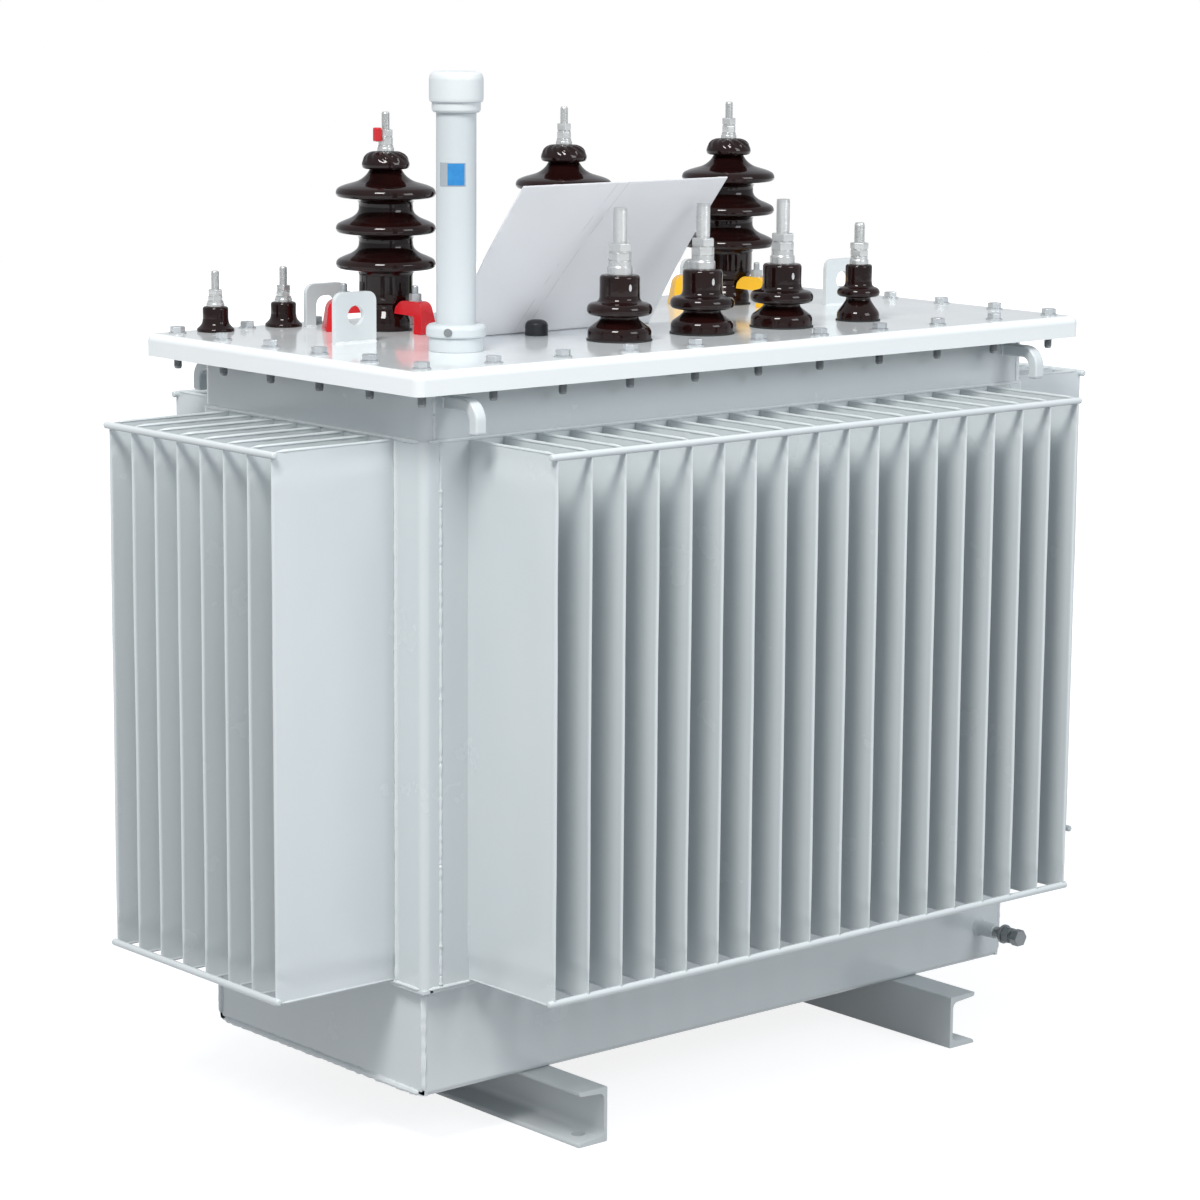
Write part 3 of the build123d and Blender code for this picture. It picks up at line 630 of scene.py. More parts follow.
class Effects:
    """Surface effects that several finishes share, each built once."""

    made: dict[str, bpy.types.NodeTree] = {}

    @classmethod
    def _start(cls, name: str, inputs: dict[str, object],
               output: str) -> tuple[Board, dict, bpy.types.Node]:
        """Open a group with its sockets.

        Args:
            name: what the group is called.
            inputs: default of each input by its name, a number or a colour.
            output: name of its output, a colour where it is called so and else a number.

        Returns:
            The board, the input sockets by name, and the output node.
        """
        tree = bpy.data.node_groups.new(name, "ShaderNodeTree")
        for title, default in inputs.items():
            kind = "NodeSocketColor" if isinstance(default, tuple) else "NodeSocketFloat"
            socket = tree.interface.new_socket(title, in_out="INPUT", socket_type=kind)
            socket.default_value = default
        kind = "NodeSocketColor" if output == "Colour" else "NodeSocketFloat"
        tree.interface.new_socket(output, in_out="OUTPUT", socket_type=kind)
        board = Board(tree)
        source = board.add("NodeGroupInput")
        cls.made[name] = tree
        return board, {s.name: s for s in source.outputs if s.name}, board.add("NodeGroupOutput")

    @classmethod
    def uneven_tone(cls) -> bpy.types.NodeTree:
        """Two colours in soft clouds, with fine flecks between them.

        Returns:
            The shared group.
        """
        if "uneven tone" not in cls.made:
            grey = (0.5, 0.5, 0.5, 1.0)
            board, taken, out = cls._start("uneven tone", {
                "Colour": grey, "Shade": grey, "Cloud Scale": 3.0, "Fleck Scale": 200.0}, "Colour")
            where = board.place()
            cloud = board.ramp(board.noise(where, taken["Cloud Scale"]), 0.35, 0.7, 0.0, 0.75)
            flecks = board.noise(where, taken["Fleck Scale"], 1.0)
            share = board.math("ADD", cloud, board.ramp(flecks, 0.55, 0.75, 0.0, 0.25))
            board.feed(out, Colour=board.mix(share, taken["Colour"], taken["Shade"]))
        return cls.made["uneven tone"]

    @classmethod
    def skin(cls) -> bpy.types.NodeTree:
        """Relief of a sprayed or cast skin: fine pits on slow waves.

        Returns:
            The shared group.
        """
        if "skin" not in cls.made:
            board, taken, out = cls._start("skin", {
                "Pit Scale": 400.0, "Wave Scale": 12.0, "Wave Share": 0.5}, "Height")
            where = board.place()
            pits = board.noise(where, taken["Pit Scale"], 2.0)
            waves = board.math("MULTIPLY", board.noise(where, taken["Wave Scale"], 1.0),
                               taken["Wave Share"])
            board.feed(out, Height=board.math("ADD", pits, waves))
        return cls.made["skin"]

    @classmethod
    def smears(cls) -> bpy.types.NodeTree:
        """Gloss that differs from place to place.

        Returns:
            The shared group.
        """
        if "smears" not in cls.made:
            board, taken, out = cls._start("smears", {"Low": 0.2, "High": 0.3, "Scale": 9.0},
                                           "Roughness")
            cloud = board.noise(board.place(), taken["Scale"], 4.0)
            board.feed(out, Roughness=board.ramp(cloud, 0.35, 0.68, taken["Low"], taken["High"]))
        return cls.made["smears"]

    @classmethod
    def hollow_shade(cls) -> bpy.types.NodeTree:
        """Painted shade in hollows, read from ambient occlusion and broken up by noise.

        Returns:
            The shared group.
        """
        if "hollow_shade" not in cls.made:
            board, taken, out = cls._start("hollow_shade", {"Reach": 0.01, "Scale": 60.0}, "Mask")
            where = board.place()
            hollow = board.add("ShaderNodeAmbientOcclusion", samples=4)
            board.feed(hollow, Distance=taken["Reach"])
            # Painted shade: the mask rises where ambient occlusion is low.
            deep = board.ramp(hollow.outputs["AO"], 0.75, 0.25)
            broken = board.ramp(board.noise(where, taken["Scale"], 3.0), 0.3, 0.7, 0.45, 1.0)
            board.feed(out, Mask=board.math("MULTIPLY", deep, broken))
        return cls.made["hollow_shade"]


@dataclass(frozen=True)
class Finish:
    """A surface finish: two close colours, gloss and relief.

    The finer fields say how large the effects are: scales are in waves per metre.
    """

    name: str
    slot: Slot
    colour: tuple
    shade: tuple
    low_gloss: float = 0.22
    high_gloss: float = 0.32
    metallic: float = 0.0
    coat: float = 0.0
    coat_roughness: float = 0.05
    relief: float = 0.04
    relief_depth: float = 0.0004
    pit_scale: float = 450.0
    wave_scale: float = 14.0
    wave_share: float = 0.5
    cloud_scale: float = 3.0
    fleck_scale: float = 260.0
    smear_scale: float = 9.0
    # Share and colour of the painted shade in hollows.
    hollow_shade: float = 0.0
    hollow_shade_colour: tuple = field(default=(0.05, 0.05, 0.05, 1.0))
    specular: float = 0.5
    glow: float = 0.0
    glow_depth: float = 0.02
    glow_reach: tuple = (1.0, 1.0, 1.0)

    def material(self) -> bpy.types.Material:
        """The Blender material, built at its first use.

        Returns:
            The material.
        """
        found = bpy.data.materials.get(self.name)
        if found:
            return found
        made = bpy.data.materials.new(self.name)
        made.use_nodes = True
        board = Board(made.node_tree)
        shader = made.node_tree.nodes["Principled BSDF"]
        board.feed(shader, Metallic=self.metallic, Coat_Weight=self.coat,
                   Coat_Roughness=self.coat_roughness, Specular_IOR_Level=self.specular,
                   Subsurface_Weight=self.glow, Subsurface_Scale=self.glow_depth,
                   Subsurface_Radius=self.glow_reach)
        board.feed(shader, Base_Color=self.colour_source(board),
                   Roughness=self.gloss_source(board))
        skin = board.effect(Effects.skin(), Pit_Scale=self.pit_scale, Wave_Scale=self.wave_scale,
                            Wave_Share=self.wave_share)
        bump = board.feed(board.add("ShaderNodeBump"), Strength=self.relief,
                          Distance=self.relief_depth, Height=skin.outputs["Height"])
        board.feed(shader, Normal=bump.outputs["Normal"])
        return made

    def colour_source(self, board: Board) -> bpy.types.NodeSocket:
        """The colour over the surface.

        Args:
            board: the material's board.

        Returns:
            The colour.
        """
        tone = board.effect(Effects.uneven_tone(), Colour=self.colour, Shade=self.shade,
                            Cloud_Scale=self.cloud_scale, Fleck_Scale=self.fleck_scale)
        if not self.hollow_shade:
            return tone.outputs["Colour"]
        # Painted shade: the tone darkens towards the painted shade colour in hollows.
        painted_hollow_shade = board.effect(Effects.hollow_shade())
        share = board.math("MULTIPLY", painted_hollow_shade.outputs["Mask"], self.hollow_shade)
        return board.mix(share, tone.outputs["Colour"], self.hollow_shade_colour)

    def gloss_source(self, board: Board) -> bpy.types.NodeSocket:
        """The roughness over the surface.

        Args:
            board: the material's board.

        Returns:
            The roughness.
        """
        smear = board.effect(Effects.smears(), Low=self.low_gloss, High=self.high_gloss,
                             Scale=self.smear_scale)
        return smear.outputs["Roughness"]


@dataclass(frozen=True)
class SheetFinish(Finish):
    """A bare pale sheet with two faint, darker slanting lines of painted sheen."""

    # Slant and places of the two painted sheen lines across the sheet, and their darker colour.
    slant: float = 0.24
    creases: tuple = (-0.488, -0.468)
    sheen_line_colour: tuple = field(default=rgba(188, 191, 204))

    def colour_source(self, board: Board) -> bpy.types.NodeSocket:
        """The base tone with thin broken lines of painted sheen across it.

        Args:
            board: the material's board.

        Returns:
            The colour.
        """
        colour = super().colour_source(board)
        where = board.place()
        parts = board.feed(board.add("ShaderNodeSeparateXYZ"), Vector=where)
        shift = board.math("MULTIPLY", parts.outputs["Z"], self.slant)
        across = board.math("SUBTRACT", parts.outputs["X"], shift)
        broken = board.ramp(board.noise(where, 45.0, 2.0), 0.42, 0.56)
        for sheen_line in self.creases:
            off = board.math("ABSOLUTE", board.math("SUBTRACT", across, sheen_line))
            share = board.math("MULTIPLY", board.ramp(off, 0.0003, 0.0016, 0.5, 0.0), broken)
            # Painted sheen: each line darkens the sheet a little.
            colour = board.mix(share, colour, self.sheen_line_colour)
        return colour


@dataclass(frozen=True)
class SpangledFinish(Finish):
    """Zinc or tin: crystals that differ a little in tone."""

    spangle_scale: float = 900.0

    def colour_source(self, board: Board) -> bpy.types.NodeSocket:
        """The base tone with crystals over it.

        Args:
            board: the material's board.

        Returns:
            The colour.
        """
        base = super().colour_source(board)
        cells = board.feed(board.add("ShaderNodeTexVoronoi"), Vector=board.place(),
                           Scale=self.spangle_scale)
        share = board.ramp(cells.outputs["Distance"], 0.1, 0.9, 0.0, 0.5)
        return board.mix(share, base, self.shade)


def enamel(name: str, slot: Slot, colour: tuple, shade: tuple) -> Finish:
    """The thick glossy paint of a clamp, in one of the phase colours."""
    return Finish(name, slot, colour, shade, low_gloss=0.18, high_gloss=0.26, coat=0.5,
                  relief=0.3, relief_depth=0.0008, pit_scale=240, wave_scale=60)


class Paints:
    """The transformer's finishes."""

    TANK = Finish(
        "tank paint", Slot.TANK_PAINT, rgba(210, 216, 218), rgba(206, 213, 215),
        low_gloss=0.2, high_gloss=0.28,
        coat=0.2, coat_roughness=0.12, relief=0.05, pit_scale=420, wave_scale=8, wave_share=1.2)
    # The tank's paint made lighter for the cover: painted light, where light from above falls on
    # its top.
    COVER_LIGHTENED = Finish(
        "lightened cover paint", Slot.TANK_PAINT, rgba(234, 238, 239), rgba(231, 236, 238),
        low_gloss=0.1, high_gloss=0.16,
        coat=0.4, coat_roughness=0.06, pit_scale=300, wave_scale=7, wave_share=1.6)
    # The seams' paint carries painted shade in the hollows where they meet the plates.
    WELD = Finish(
        "painted weld", Slot.TANK_PAINT, rgba(222, 227, 228), rgba(212, 218, 221),
        low_gloss=0.2, high_gloss=0.3,
        coat=0.3, relief=0.25, relief_depth=0.0006, pit_scale=420, hollow_shade=0.35,
        hollow_shade_colour=rgba(130, 136, 140))
    SKID = Finish(
        "skid paint", Slot.TANK_PAINT, rgba(204, 209, 210), rgba(196, 202, 204),
        low_gloss=0.34, high_gloss=0.46,
        relief=0.12, relief_depth=0.0005, pit_scale=260, wave_scale=20)
    GLAZE = Finish(
        "brown glaze", Slot.GLAZE, rgba(32, 12, 11), rgba(19, 10, 9),
        low_gloss=0.05, high_gloss=0.08,
        relief=0.1, relief_depth=0.001, pit_scale=60, wave_scale=25, wave_share=1.5,
        cloud_scale=25, fleck_scale=400, specular=0.35)
    RED = enamel("red paint", Slot.RED, rgba(206, 18, 30), rgba(188, 12, 24))
    GREEN = enamel("green paint", Slot.GREEN, rgba(18, 122, 52), rgba(12, 104, 44))
    YELLOW = enamel("yellow paint", Slot.YELLOW, rgba(246, 190, 16), rgba(232, 172, 10))
    ZINC = SpangledFinish(
        "zinc plating", Slot.TINNED, rgba(212, 216, 218), rgba(172, 177, 181),
        low_gloss=0.28, high_gloss=0.44,
        metallic=0.6, relief=0.25, pit_scale=700)
    TIN = SpangledFinish(
        "tinned metal", Slot.TINNED, rgba(222, 223, 222), rgba(186, 188, 188),
        low_gloss=0.24, high_gloss=0.38,
        metallic=0.7, relief=0.2, relief_depth=0.0003, pit_scale=900)
    DARK_STEEL = SpangledFinish(
        "dark steel", Slot.DARK_STEEL, rgba(172, 176, 178), rgba(124, 129, 132),
        low_gloss=0.34, high_gloss=0.5,
        metallic=0.35, relief=0.3)
    RUBBER = Finish(
        "gasket rubber", Slot.RUBBER, rgba(34, 35, 36), rgba(26, 27, 28),
        low_gloss=0.55, high_gloss=0.7,
        relief=0.3, pit_scale=900)
    BLACK = Finish(
        "black plastic", Slot.BLACK, rgba(38, 40, 43), rgba(30, 32, 35),
        low_gloss=0.3, high_gloss=0.42,
        relief=0.2, relief_depth=0.0003, pit_scale=800)
    GAUGE = Finish(
        "gauge plastic", Slot.GAUGE, rgba(203, 210, 213), rgba(198, 205, 208),
        low_gloss=0.28,
        high_gloss=0.36, relief=0.08, pit_scale=500, wave_scale=20)
    WHITE = Finish(
        "white plastic", Slot.WHITE, rgba(218, 223, 225), rgba(212, 218, 220),
        low_gloss=0.3, high_gloss=0.4,
        relief=0.1, pit_scale=600)
    # The sheet's finish carries two painted sheen lines.
    SHEET = SheetFinish(
        "bare sheet", Slot.WHITE, rgba(236, 238, 246), rgba(232, 235, 244),
        low_gloss=0.3, high_gloss=0.42,
        relief=0.05, pit_scale=90, glow=0.8)
    SILVER = Finish(
        "silver scale", Slot.BLUE, rgba(196, 204, 210), rgba(176, 186, 194),
        low_gloss=0.15, high_gloss=0.25,
        metallic=0.6, coat=0.6)
    BLUE = Finish(
        "blue float", Slot.BLUE, rgba(40, 140, 205), rgba(24, 118, 188),
        low_gloss=0.12, high_gloss=0.2,
        coat=0.7, relief=0.1, cloud_scale=60)


# Fasteners


def hexagon(across_flats: float, height: float, chamfer: float, turn: float = 0.0) -> Solid:
    """A nut or bolt head with worn corners, standing on z = 0.

    Args:
        across_flats: distance between two opposite flats.
        height: its height.
        chamfer: rounding of its edges.
        turn: degrees about Z.

    Returns:
        The hexagon.
    """
    made = Solid.rod(across_flats / math.sqrt(3), height, segments=6)
    return made.round_edges(chamfer, 2).turn(turn, Axis.Z)


def disc(radius: float, height: float, rounding: float = 0.4, segments: int = 32) -> Solid:
    """A washer or round foot standing on z = 0."""
    profile = [(0, 0, 0), (radius, 0, rounding), (radius, height, rounding), (0, height, 0)]
    return Solid.lathe(profile, segments, 2)


def threaded(radius: float, length: float, pitch: float, segments: int = 20,
             cut: float = 0.45) -> Solid:
    """A threaded rod with a chamfered end, standing on z = 0.

    Args:
        radius: outer radius of the thread.
        length: height of the rod.
        pitch: distance between two crests.
        segments: steps of the full turn.
        cut: depth of the thread as a share of its pitch.

    Returns:
        The rod.
    """
    depth = cut * pitch
    profile = [(0.0, 0.0, 0.0), (radius - depth, 0.0, 0.0)]
    for index in range(int((length - pitch) / pitch)):
        profile += [(radius, (index + 0.4) * pitch, 0.0), (radius, (index + 0.6) * pitch, 0.0),
                    (radius - depth, (index + 1.0) * pitch, 0.0)]
    tip = radius - 1.4 * depth
    profile += [(tip, length - 0.5, 0.0), (tip - 0.8, length, 0.0), (0.0, length, 0.0)]
    return Solid.lathe(profile, segments)


@dataclass
class Terminal:
    """A threaded stud with its washers and nuts on top of a bushing."""

    stud_radius: float
    stud_length: float
    collar_radius: float
    collar_height: float
    nut_flats: float
    nut_height: float
    pitch: float = 1.75
    turn: float = 0.0
    cut: float = 0.45
    lock_nut_turn: float = 17.0
    washer_height: float = 2.0
    shank_share: float = 0.93

    def solids(self, x: float, y: float, base: float) -> list[Solid]:
        """Build the stack.

        Args:
            x: place of its axis.
            y: place of its axis.
            base: height of the bushing's top.

        Returns:
            Its solids, in place.
        """
        collar, wide, nut = self.collar_height, self.collar_radius, self.nut_height
        first = base + collar
        washer, lock_turn = self.washer_height, self.turn + self.lock_nut_turn
        shank, half = self.stud_radius * self.shank_share, self.stud_length * 0.5
        collar_profile = [(0, 0, 0), (wide, 0, 0.6), (wide, collar * 0.55, 1.2),
                          (wide * 0.9, collar * 0.62, 0.6), (wide * 0.9, collar, 0.8),
                          (0, collar, 0)]
        shank_profile = [(0, 0, 0), (shank, 0, 0), (shank, half, 0.4), (0, half, 0)]
        return [
            Solid.lathe(collar_profile, 32, 2).move(x, y, base),
            hexagon(self.nut_flats, nut, CHAMFER, self.turn).move(x, y, first),
            disc(self.nut_flats / 2, washer).move(x, y, first + nut),
            hexagon(self.nut_flats, nut, CHAMFER, lock_turn).move(x, y, first + nut + washer),
            Solid.lathe(shank_profile, 24, 2).move(x, y, base),
            threaded(self.stud_radius, half, self.pitch, cut=self.cut).move(x, y, base + half),
        ]


# Sub-assemblies


@dataclass
class Skids:
    """Two hot-rolled channels laid across under the tray, open sides outwards."""

    height: float = 80.0
    flange: float = 52.0
    web: float = 6.0
    flange_tip: float = 6.2
    flange_root: float = 9.8
    root_fillet: float = 8.0
    toe_radius: float = 4.0
    half_length: float = 364.0
    back_x: float = 343.0
    hole_y: float = 332.0
    hole_radius: float = 10.0
    hole_low: float = -4.0

    def channel(self) -> Solid:
        """The left channel without its holes.

        Returns:
            The channel in its place.
        """
        out, web = self.flange, self.web
        tip, root = self.flange_tip, self.flange_root
        outline = [
            (0, 0, 2.0), (out, 0, 1.0), (out, tip, self.toe_radius), (web, root, self.root_fillet),
            (web, self.height - root, self.root_fillet), (out, self.height - tip, self.toe_radius),
            (out, self.height, 1.0), (0, self.height, 2.0),
        ]
        bar = Solid.plate(outline, 2 * self.half_length)
        bar.round_edges(0.8, 2, 60, lambda e: rise(e) < 1)
        # The outline's x runs outwards to -X, its y runs up, and the bar's length along Y.
        bar.move(0, 0, -self.half_length).turn(90, Axis.X).turn(180, Axis.Z)
        return bar.move(-self.back_x, 0, 0)

    def build(self) -> None:
        """Make both channels with the holes for the foundation bolts."""
        hole_x = -self.back_x - self.flange / 2
        for side, node in ((0, "skid_left"), (180, "skid_right")):
            cutter = Piece("hole_cutter")
            for y in (-self.hole_y, self.hole_y):
                hole = Solid.rod(self.hole_radius, 2 * self.flange_root, 32)
                cutter.add(hole.move(hole_x, y, self.hole_low).turn(side, Axis.Z))
            bmesh.ops.scale(cutter.bm, vec=(MM,) * 3, verts=cutter.bm.verts)
            tool = put_in_scene(cutter.name, take_mesh(cutter.bm, cutter.name))
            made = Piece(node + "_channel").add(self.channel().turn(side, Axis.Z)).finish(
                Paints.SKID, node)
            self.drill(made, tool)

    def drill(self, made: bpy.types.Object, tool: bpy.types.Object) -> None:
        """Cut a tool's form out of a channel for good, with its shading evened.

        Args:
            made: the channel.
            tool: the form that is cut out, which is then removed.
        """
        cut = made.modifiers.new("holes", "BOOLEAN")
        cut.object = tool
        cut.solver = "EXACT"
        made.modifiers.move(len(made.modifiers) - 1, 0)
        bpy.context.view_layer.update()
        view = made.evaluated_get(bpy.context.evaluated_depsgraph_get())
        drilled = bpy.data.meshes.new_from_object(view)
        made.modifiers.clear()
        made.data = drilled
        bpy.data.objects.remove(tool)


@dataclass
class Tray:
    """Lower tray: a folded trough with two end plates welded in and a ledge round its top."""

    half_x: float = 572.0
    half_y: float = 245.0
    wall: float = 6.0
    floor: float = 6.0
    top: float = 236.0
    base: float = 80.0
    ledge: float = 12.0
    ledge_height: float = 6.0
    fold_radius: float = 9.0
    foot_depth: float = 60.0
    end_lift: float = 1.5
    foot_seam: float = 4.6
    end_seam: float = 4.2
    seam_step: float = 5.0
    seam_ripple: float = 0.22

    def long_wall(self) -> Solid:
        """The front wall with its folded foot and ledge.

        Returns:
            The wall in its place.
        """
        y, inner, reach = self.half_y, self.half_y - self.wall, self.half_y - self.foot_depth
        under, floor, out = self.top - self.ledge_height, self.base + self.floor, -y - self.ledge
        outline = [
            (-y, self.base, self.fold_radius), (-reach, self.base, 0), (-reach, floor, 0),
            (-inner, floor, 3.0), (-inner, self.top, 0), (out, self.top, 1.2), (out, under, 1.2),
            (-y, under, 1.0),
        ]
        sheet = Solid.plate(outline, 2 * self.half_x)
        # The outline's x is the frame's Y and its y is the frame's Z.
        return sheet.reshape(lambda p: Vector((p.z - self.half_x, p.x, p.y))).face_outwards()

    def end_wall(self) -> Solid:
        """The left end plate with its ledge, fitted between the long walls.

        Returns:
            The plate in its place.
        """
        half = self.half_y - 0.5
        plate = Solid.box((-self.half_x, -half, self.base + self.end_lift),
                          (-self.half_x + self.wall, half, self.top - self.ledge_height))
        return plate.round_edges(0.8)

    def end_ledge(self) -> Solid:
        """The ledge on top of the left end plate.

        Returns:
            The ledge in its place.
        """
        half = self.half_y + self.ledge
        bar = Solid.box((-self.half_x - self.ledge, -half, self.top - self.ledge_height),
                        (-self.half_x + self.wall, half, self.top))
        return bar.round_edges(1.2)

    def build(self) -> None:
        """Make the walls, floor and the tray's weld seams."""
        x, inner = self.half_x, self.half_y - self.foot_depth
        floor = Solid.box((-x + 1, -inner, self.base), (x - 1, inner, self.base + self.floor))
        Piece("tray_bottom").add(floor.round_edges(0.8)).finish(Paints.TANK, "tank_floor")
        for turn, long_name, short_name in ((0, "front", "left"), (180, "back", "right")):
            Piece("tray_side_" + long_name).add(self.long_wall().turn(turn, Axis.Z)).finish(
                Paints.TANK, "tray_wall_" + long_name)
            end = (self.end_wall().turn(turn, Axis.Z), self.end_ledge().turn(turn, Axis.Z))
            Piece("tray_end_" + short_name).add(*end).finish(
                Paints.TANK, "tray_wall_" + short_name)
        seams = Piece("tray_welds")
        for index, turn in enumerate((0, 180)):
            seams.add(*[seam.turn(turn, Axis.Z) for seam in self.end_seams(index)])
        seams.finish(Paints.WELD)

    def end_seams(self, index: int) -> list[Solid]:
        """The seams under and beside the left end plate, uneven in a way of their own.

        Args:
            index: which end it is, which chooses the seams' unevenness.

        Returns:
            The three seams.
        """
        x, foot_y, side_y = self.half_x, self.half_y - 14, self.half_y - 3
        foot, low, high = self.base + 3, self.base + 10, self.top - 8
        runs = (((-x, -foot_y, foot), (-x, foot_y, foot), self.foot_seam, 11),
                ((-x, -side_y, low), (-x, -side_y, high), self.end_seam, 21),
                ((-x, side_y, low), (-x, side_y, high), self.end_seam, 31))
        return [Solid.bead(start, end, radius, seed + index, self.seam_step, self.seam_ripple)
                for start, end, radius, seed in runs]


@dataclass
class FinRow:
    """Sizes of one corrugated wall, described as if it faced -Y."""

    node: str
    turn: float
    wall_out: float
    half_width: float
    count: int
    pitch: float
    reach: float
    setback: float

    @property
    def depth(self) -> float:
        """How far the fins' folds stand out from the sheet."""
        return self.reach - self.setback


@dataclass
class FinnedTank:
    """The tank's corrugated walls with their fins, tie bars, corner posts and seams."""

    low: float = 236.0
    high: float = 990.0
    sheet: float = 2.0
    fin_low: float = 239.0
    fin_high: float = 988.0
    fin_width: float = 8.0
    pinched_width: float = 3.0
    pinched_length: float = 15.0
    taper: float = 40.0
    rod_radius: float = 5.0
    rod_overrun: float = 5.0
    corner_radius: float = 11.0
    seam_radius: float = 2.3
    seam_inset: float = 1.2
    seam_step: float = 9.0
    seam_ripple: float = 0.12
    level_step: float = 6.0
    level_ripple: float = 0.25
    fold_band: float = 34.0
    fold_narrowing: float = 0.34
    # Each crease: distance from the fin's end, slant, and how deep it is.
    creases: tuple = ((36.0, 0.55, 0.75), (58.0, -0.3, 0.4))
    crease_width: float = 5.5
    crease_reach: float = 22.0
    sway: float = 1.1
    corner_band: float = 24.0
    end_levels: tuple = (0, 1.5, 4, 8, 12, 16, 20, 25, 30, 35, 40, 46, 53, 62, 76, 96, 130)
    post_long: float = 57.0
    post_short: float = 31.0
    post_thickness: float = 5.0
    half_x: float = 584.0
    half_y: float = 257.0
    rows: list[FinRow] = field(default_factory=list)

    def __post_init__(self) -> None:
        """List the four walls."""
        long_half, short_half = self.half_x - self.post_short, self.half_y - self.post_long
        for turn, node in ((0, "fin_panel_front"), (180, "fin_panel_back")):
            self.rows.append(FinRow(node, turn, self.half_y, long_half, 18, 59.2, 184.0, 1.0))
        for turn, node in ((-90, "fin_panel_left"), (90, "fin_panel_right")):
            self.rows.append(FinRow(node, turn, self.half_x, short_half, 8, 54.6, 205.0, 5.0))

    def fin(self, row: FinRow, index: int) -> Solid:
        """One fin of a wall facing -Y, with its sheet face at y = 0.

        Args:
            row: the wall that it stands on.
            index: which fin it is, which chooses its dents.

        Returns:
            The fin.
        """
        half, depth = self.fin_width / 2, row.depth
        made = Solid()
        bm = made.bm
        corners = [(half, 1.0), (half, -depth), (-half, -depth), (-half, 1.0)]
        bm.faces.new([bm.verts.new((x, y, 0.0)) for x, y in corners])
        tip = [v for v in bm.verts if v.co.y < -depth / 2]
        bmesh.ops.bevel(bm, geom=tip, offset=half - 0.3, segments=4, profile=0.5,
                        affect="VERTICES", material=-1, clamp_overlap=True)
        sides = [e for e in bm.edges if e.calc_length() > depth / 2]
        bmesh.ops.subdivide_edges(bm, edges=sides, cuts=15)
        for vert in bm.verts:
            vert.co.y = self.spread_columns(vert.co.y, depth)
        length = self.fin_high - self.fin_low
        levels = sorted({*self.end_levels, *(length - level for level in self.end_levels),
                         *(length * eighth / 8 for eighth in range(2, 7))})
        layer = bm.faces[:]
        for step, (lower, upper) in enumerate(zip(levels, levels[1:])):
            layer = made.grow(layer, Vector((0, 0, upper - lower)), step == 0)
        key = index * 1.37 + row.turn
        return made.face_outwards().reshape(lambda p: self.pressed(p, depth, length, key))

    def spread_columns(self, y: float, depth: float) -> float:
        """Crowd a fin's columns near its outer fold, where it is dented.

        Args:
            y: a column's place on the evenly divided fin.
            depth: how far the fin stands out.

        Returns:
            The column's new place.
        """
        flat = depth - self.fin_width / 2
        if y >= 0 or y < -flat:
            return y
        return -flat * (1 - (1 + y / flat) ** 1.7)

    def pressed(self, p: Vector, depth: float, length: float, key: float) -> Vector:
        """Where the press puts one point of a fin.

        Args:
            p: the point on the straight fin.
            depth: how far the fin stands out.
            length: the fin's height.
            key: chooses the fin's own unevenness.

        Returns:
            The point on the finished fin.
        """
        end = min(p.z, length - p.z)
        out = -p.y / depth
        start = self.pinched_length * (1 - 0.35 * out)
        width = smooth_step(end, start, start + self.taper * (0.7 + 0.5 * out))
        share = self.pinched_width / self.fin_width
        side = p.x * (share + (1 - share) * width)
        inward = max(0.0, depth + p.y)
        side *= 1 - self.fold_narrowing * smooth_step(-p.y, depth - self.fold_band, depth - 2)
        for level, slant, sink in self.creases:
            shift = 5 * noise.noise((key, level, p.z > length / 2))
            off = end - level - shift + slant * inward
            deep = sink * (0.6 + 0.8 * abs(noise.noise((key, 7.3, level))))
            fade = math.exp(-((off / self.crease_width) ** 2) - inward / self.crease_reach)
            side *= 1 - min(0.8, deep * fade)
        sway = self.sway * noise.noise((key, p.y * 0.012, p.z * 0.006))
        side += sway * smooth_step(out, 0.0, 0.3) * smooth_step(end, 20, 90)
        radius, band, y = self.corner_radius, self.corner_band, p.y
        back = 0.0
        if end < radius:
            back = radius - math.sqrt(max(0.0, radius ** 2 - (radius - end) ** 2))
        if -y > depth - band and back:
            y = -(depth - band) + (y + depth - band) * (band - back) / band
        return Vector((side, y, p.z + self.fin_low))

    def edge_seams(self, row: FinRow, x: float, index: int) -> list[Solid]:
        """The weld seams that close a fin's top and bottom edges, up to its rounded corners.

        Args:
            row: the wall that the fin stands on.
            x: the fin's place along the wall.
            index: which fin it is, which chooses the seams' unevenness.

        Returns:
            The two seams.
        """
        out = row.depth - self.corner_radius
        levels = ((self.fin_high - self.seam_inset, 300), (self.fin_low + self.seam_inset, 400))
        return [Solid.bead((x, -1, z), (x, -out, z), self.seam_radius, seed + index,
                           self.seam_step, self.seam_ripple) for z, seed in levels]

    def wall(self, row: FinRow) -> Piece:
        """One corrugated wall with its fins.

        Args:
            row: the wall's sizes.

        Returns:
            The wall's piece.
        """
        solids = [Solid.box((-row.half_width, 0, self.low),
                            (row.half_width, self.sheet, self.high))]
        for index in range(row.count):
            x = (index - (row.count - 1) / 2) * row.pitch
            solids.append(self.fin(row, index).move(x, 0, 0))
            solids += self.edge_seams(row, x, index)
        for solid in solids:
            solid.move(0, -row.wall_out, 0).turn(row.turn, Axis.Z)
        return Piece(row.node + "_sheet").add(*solids)

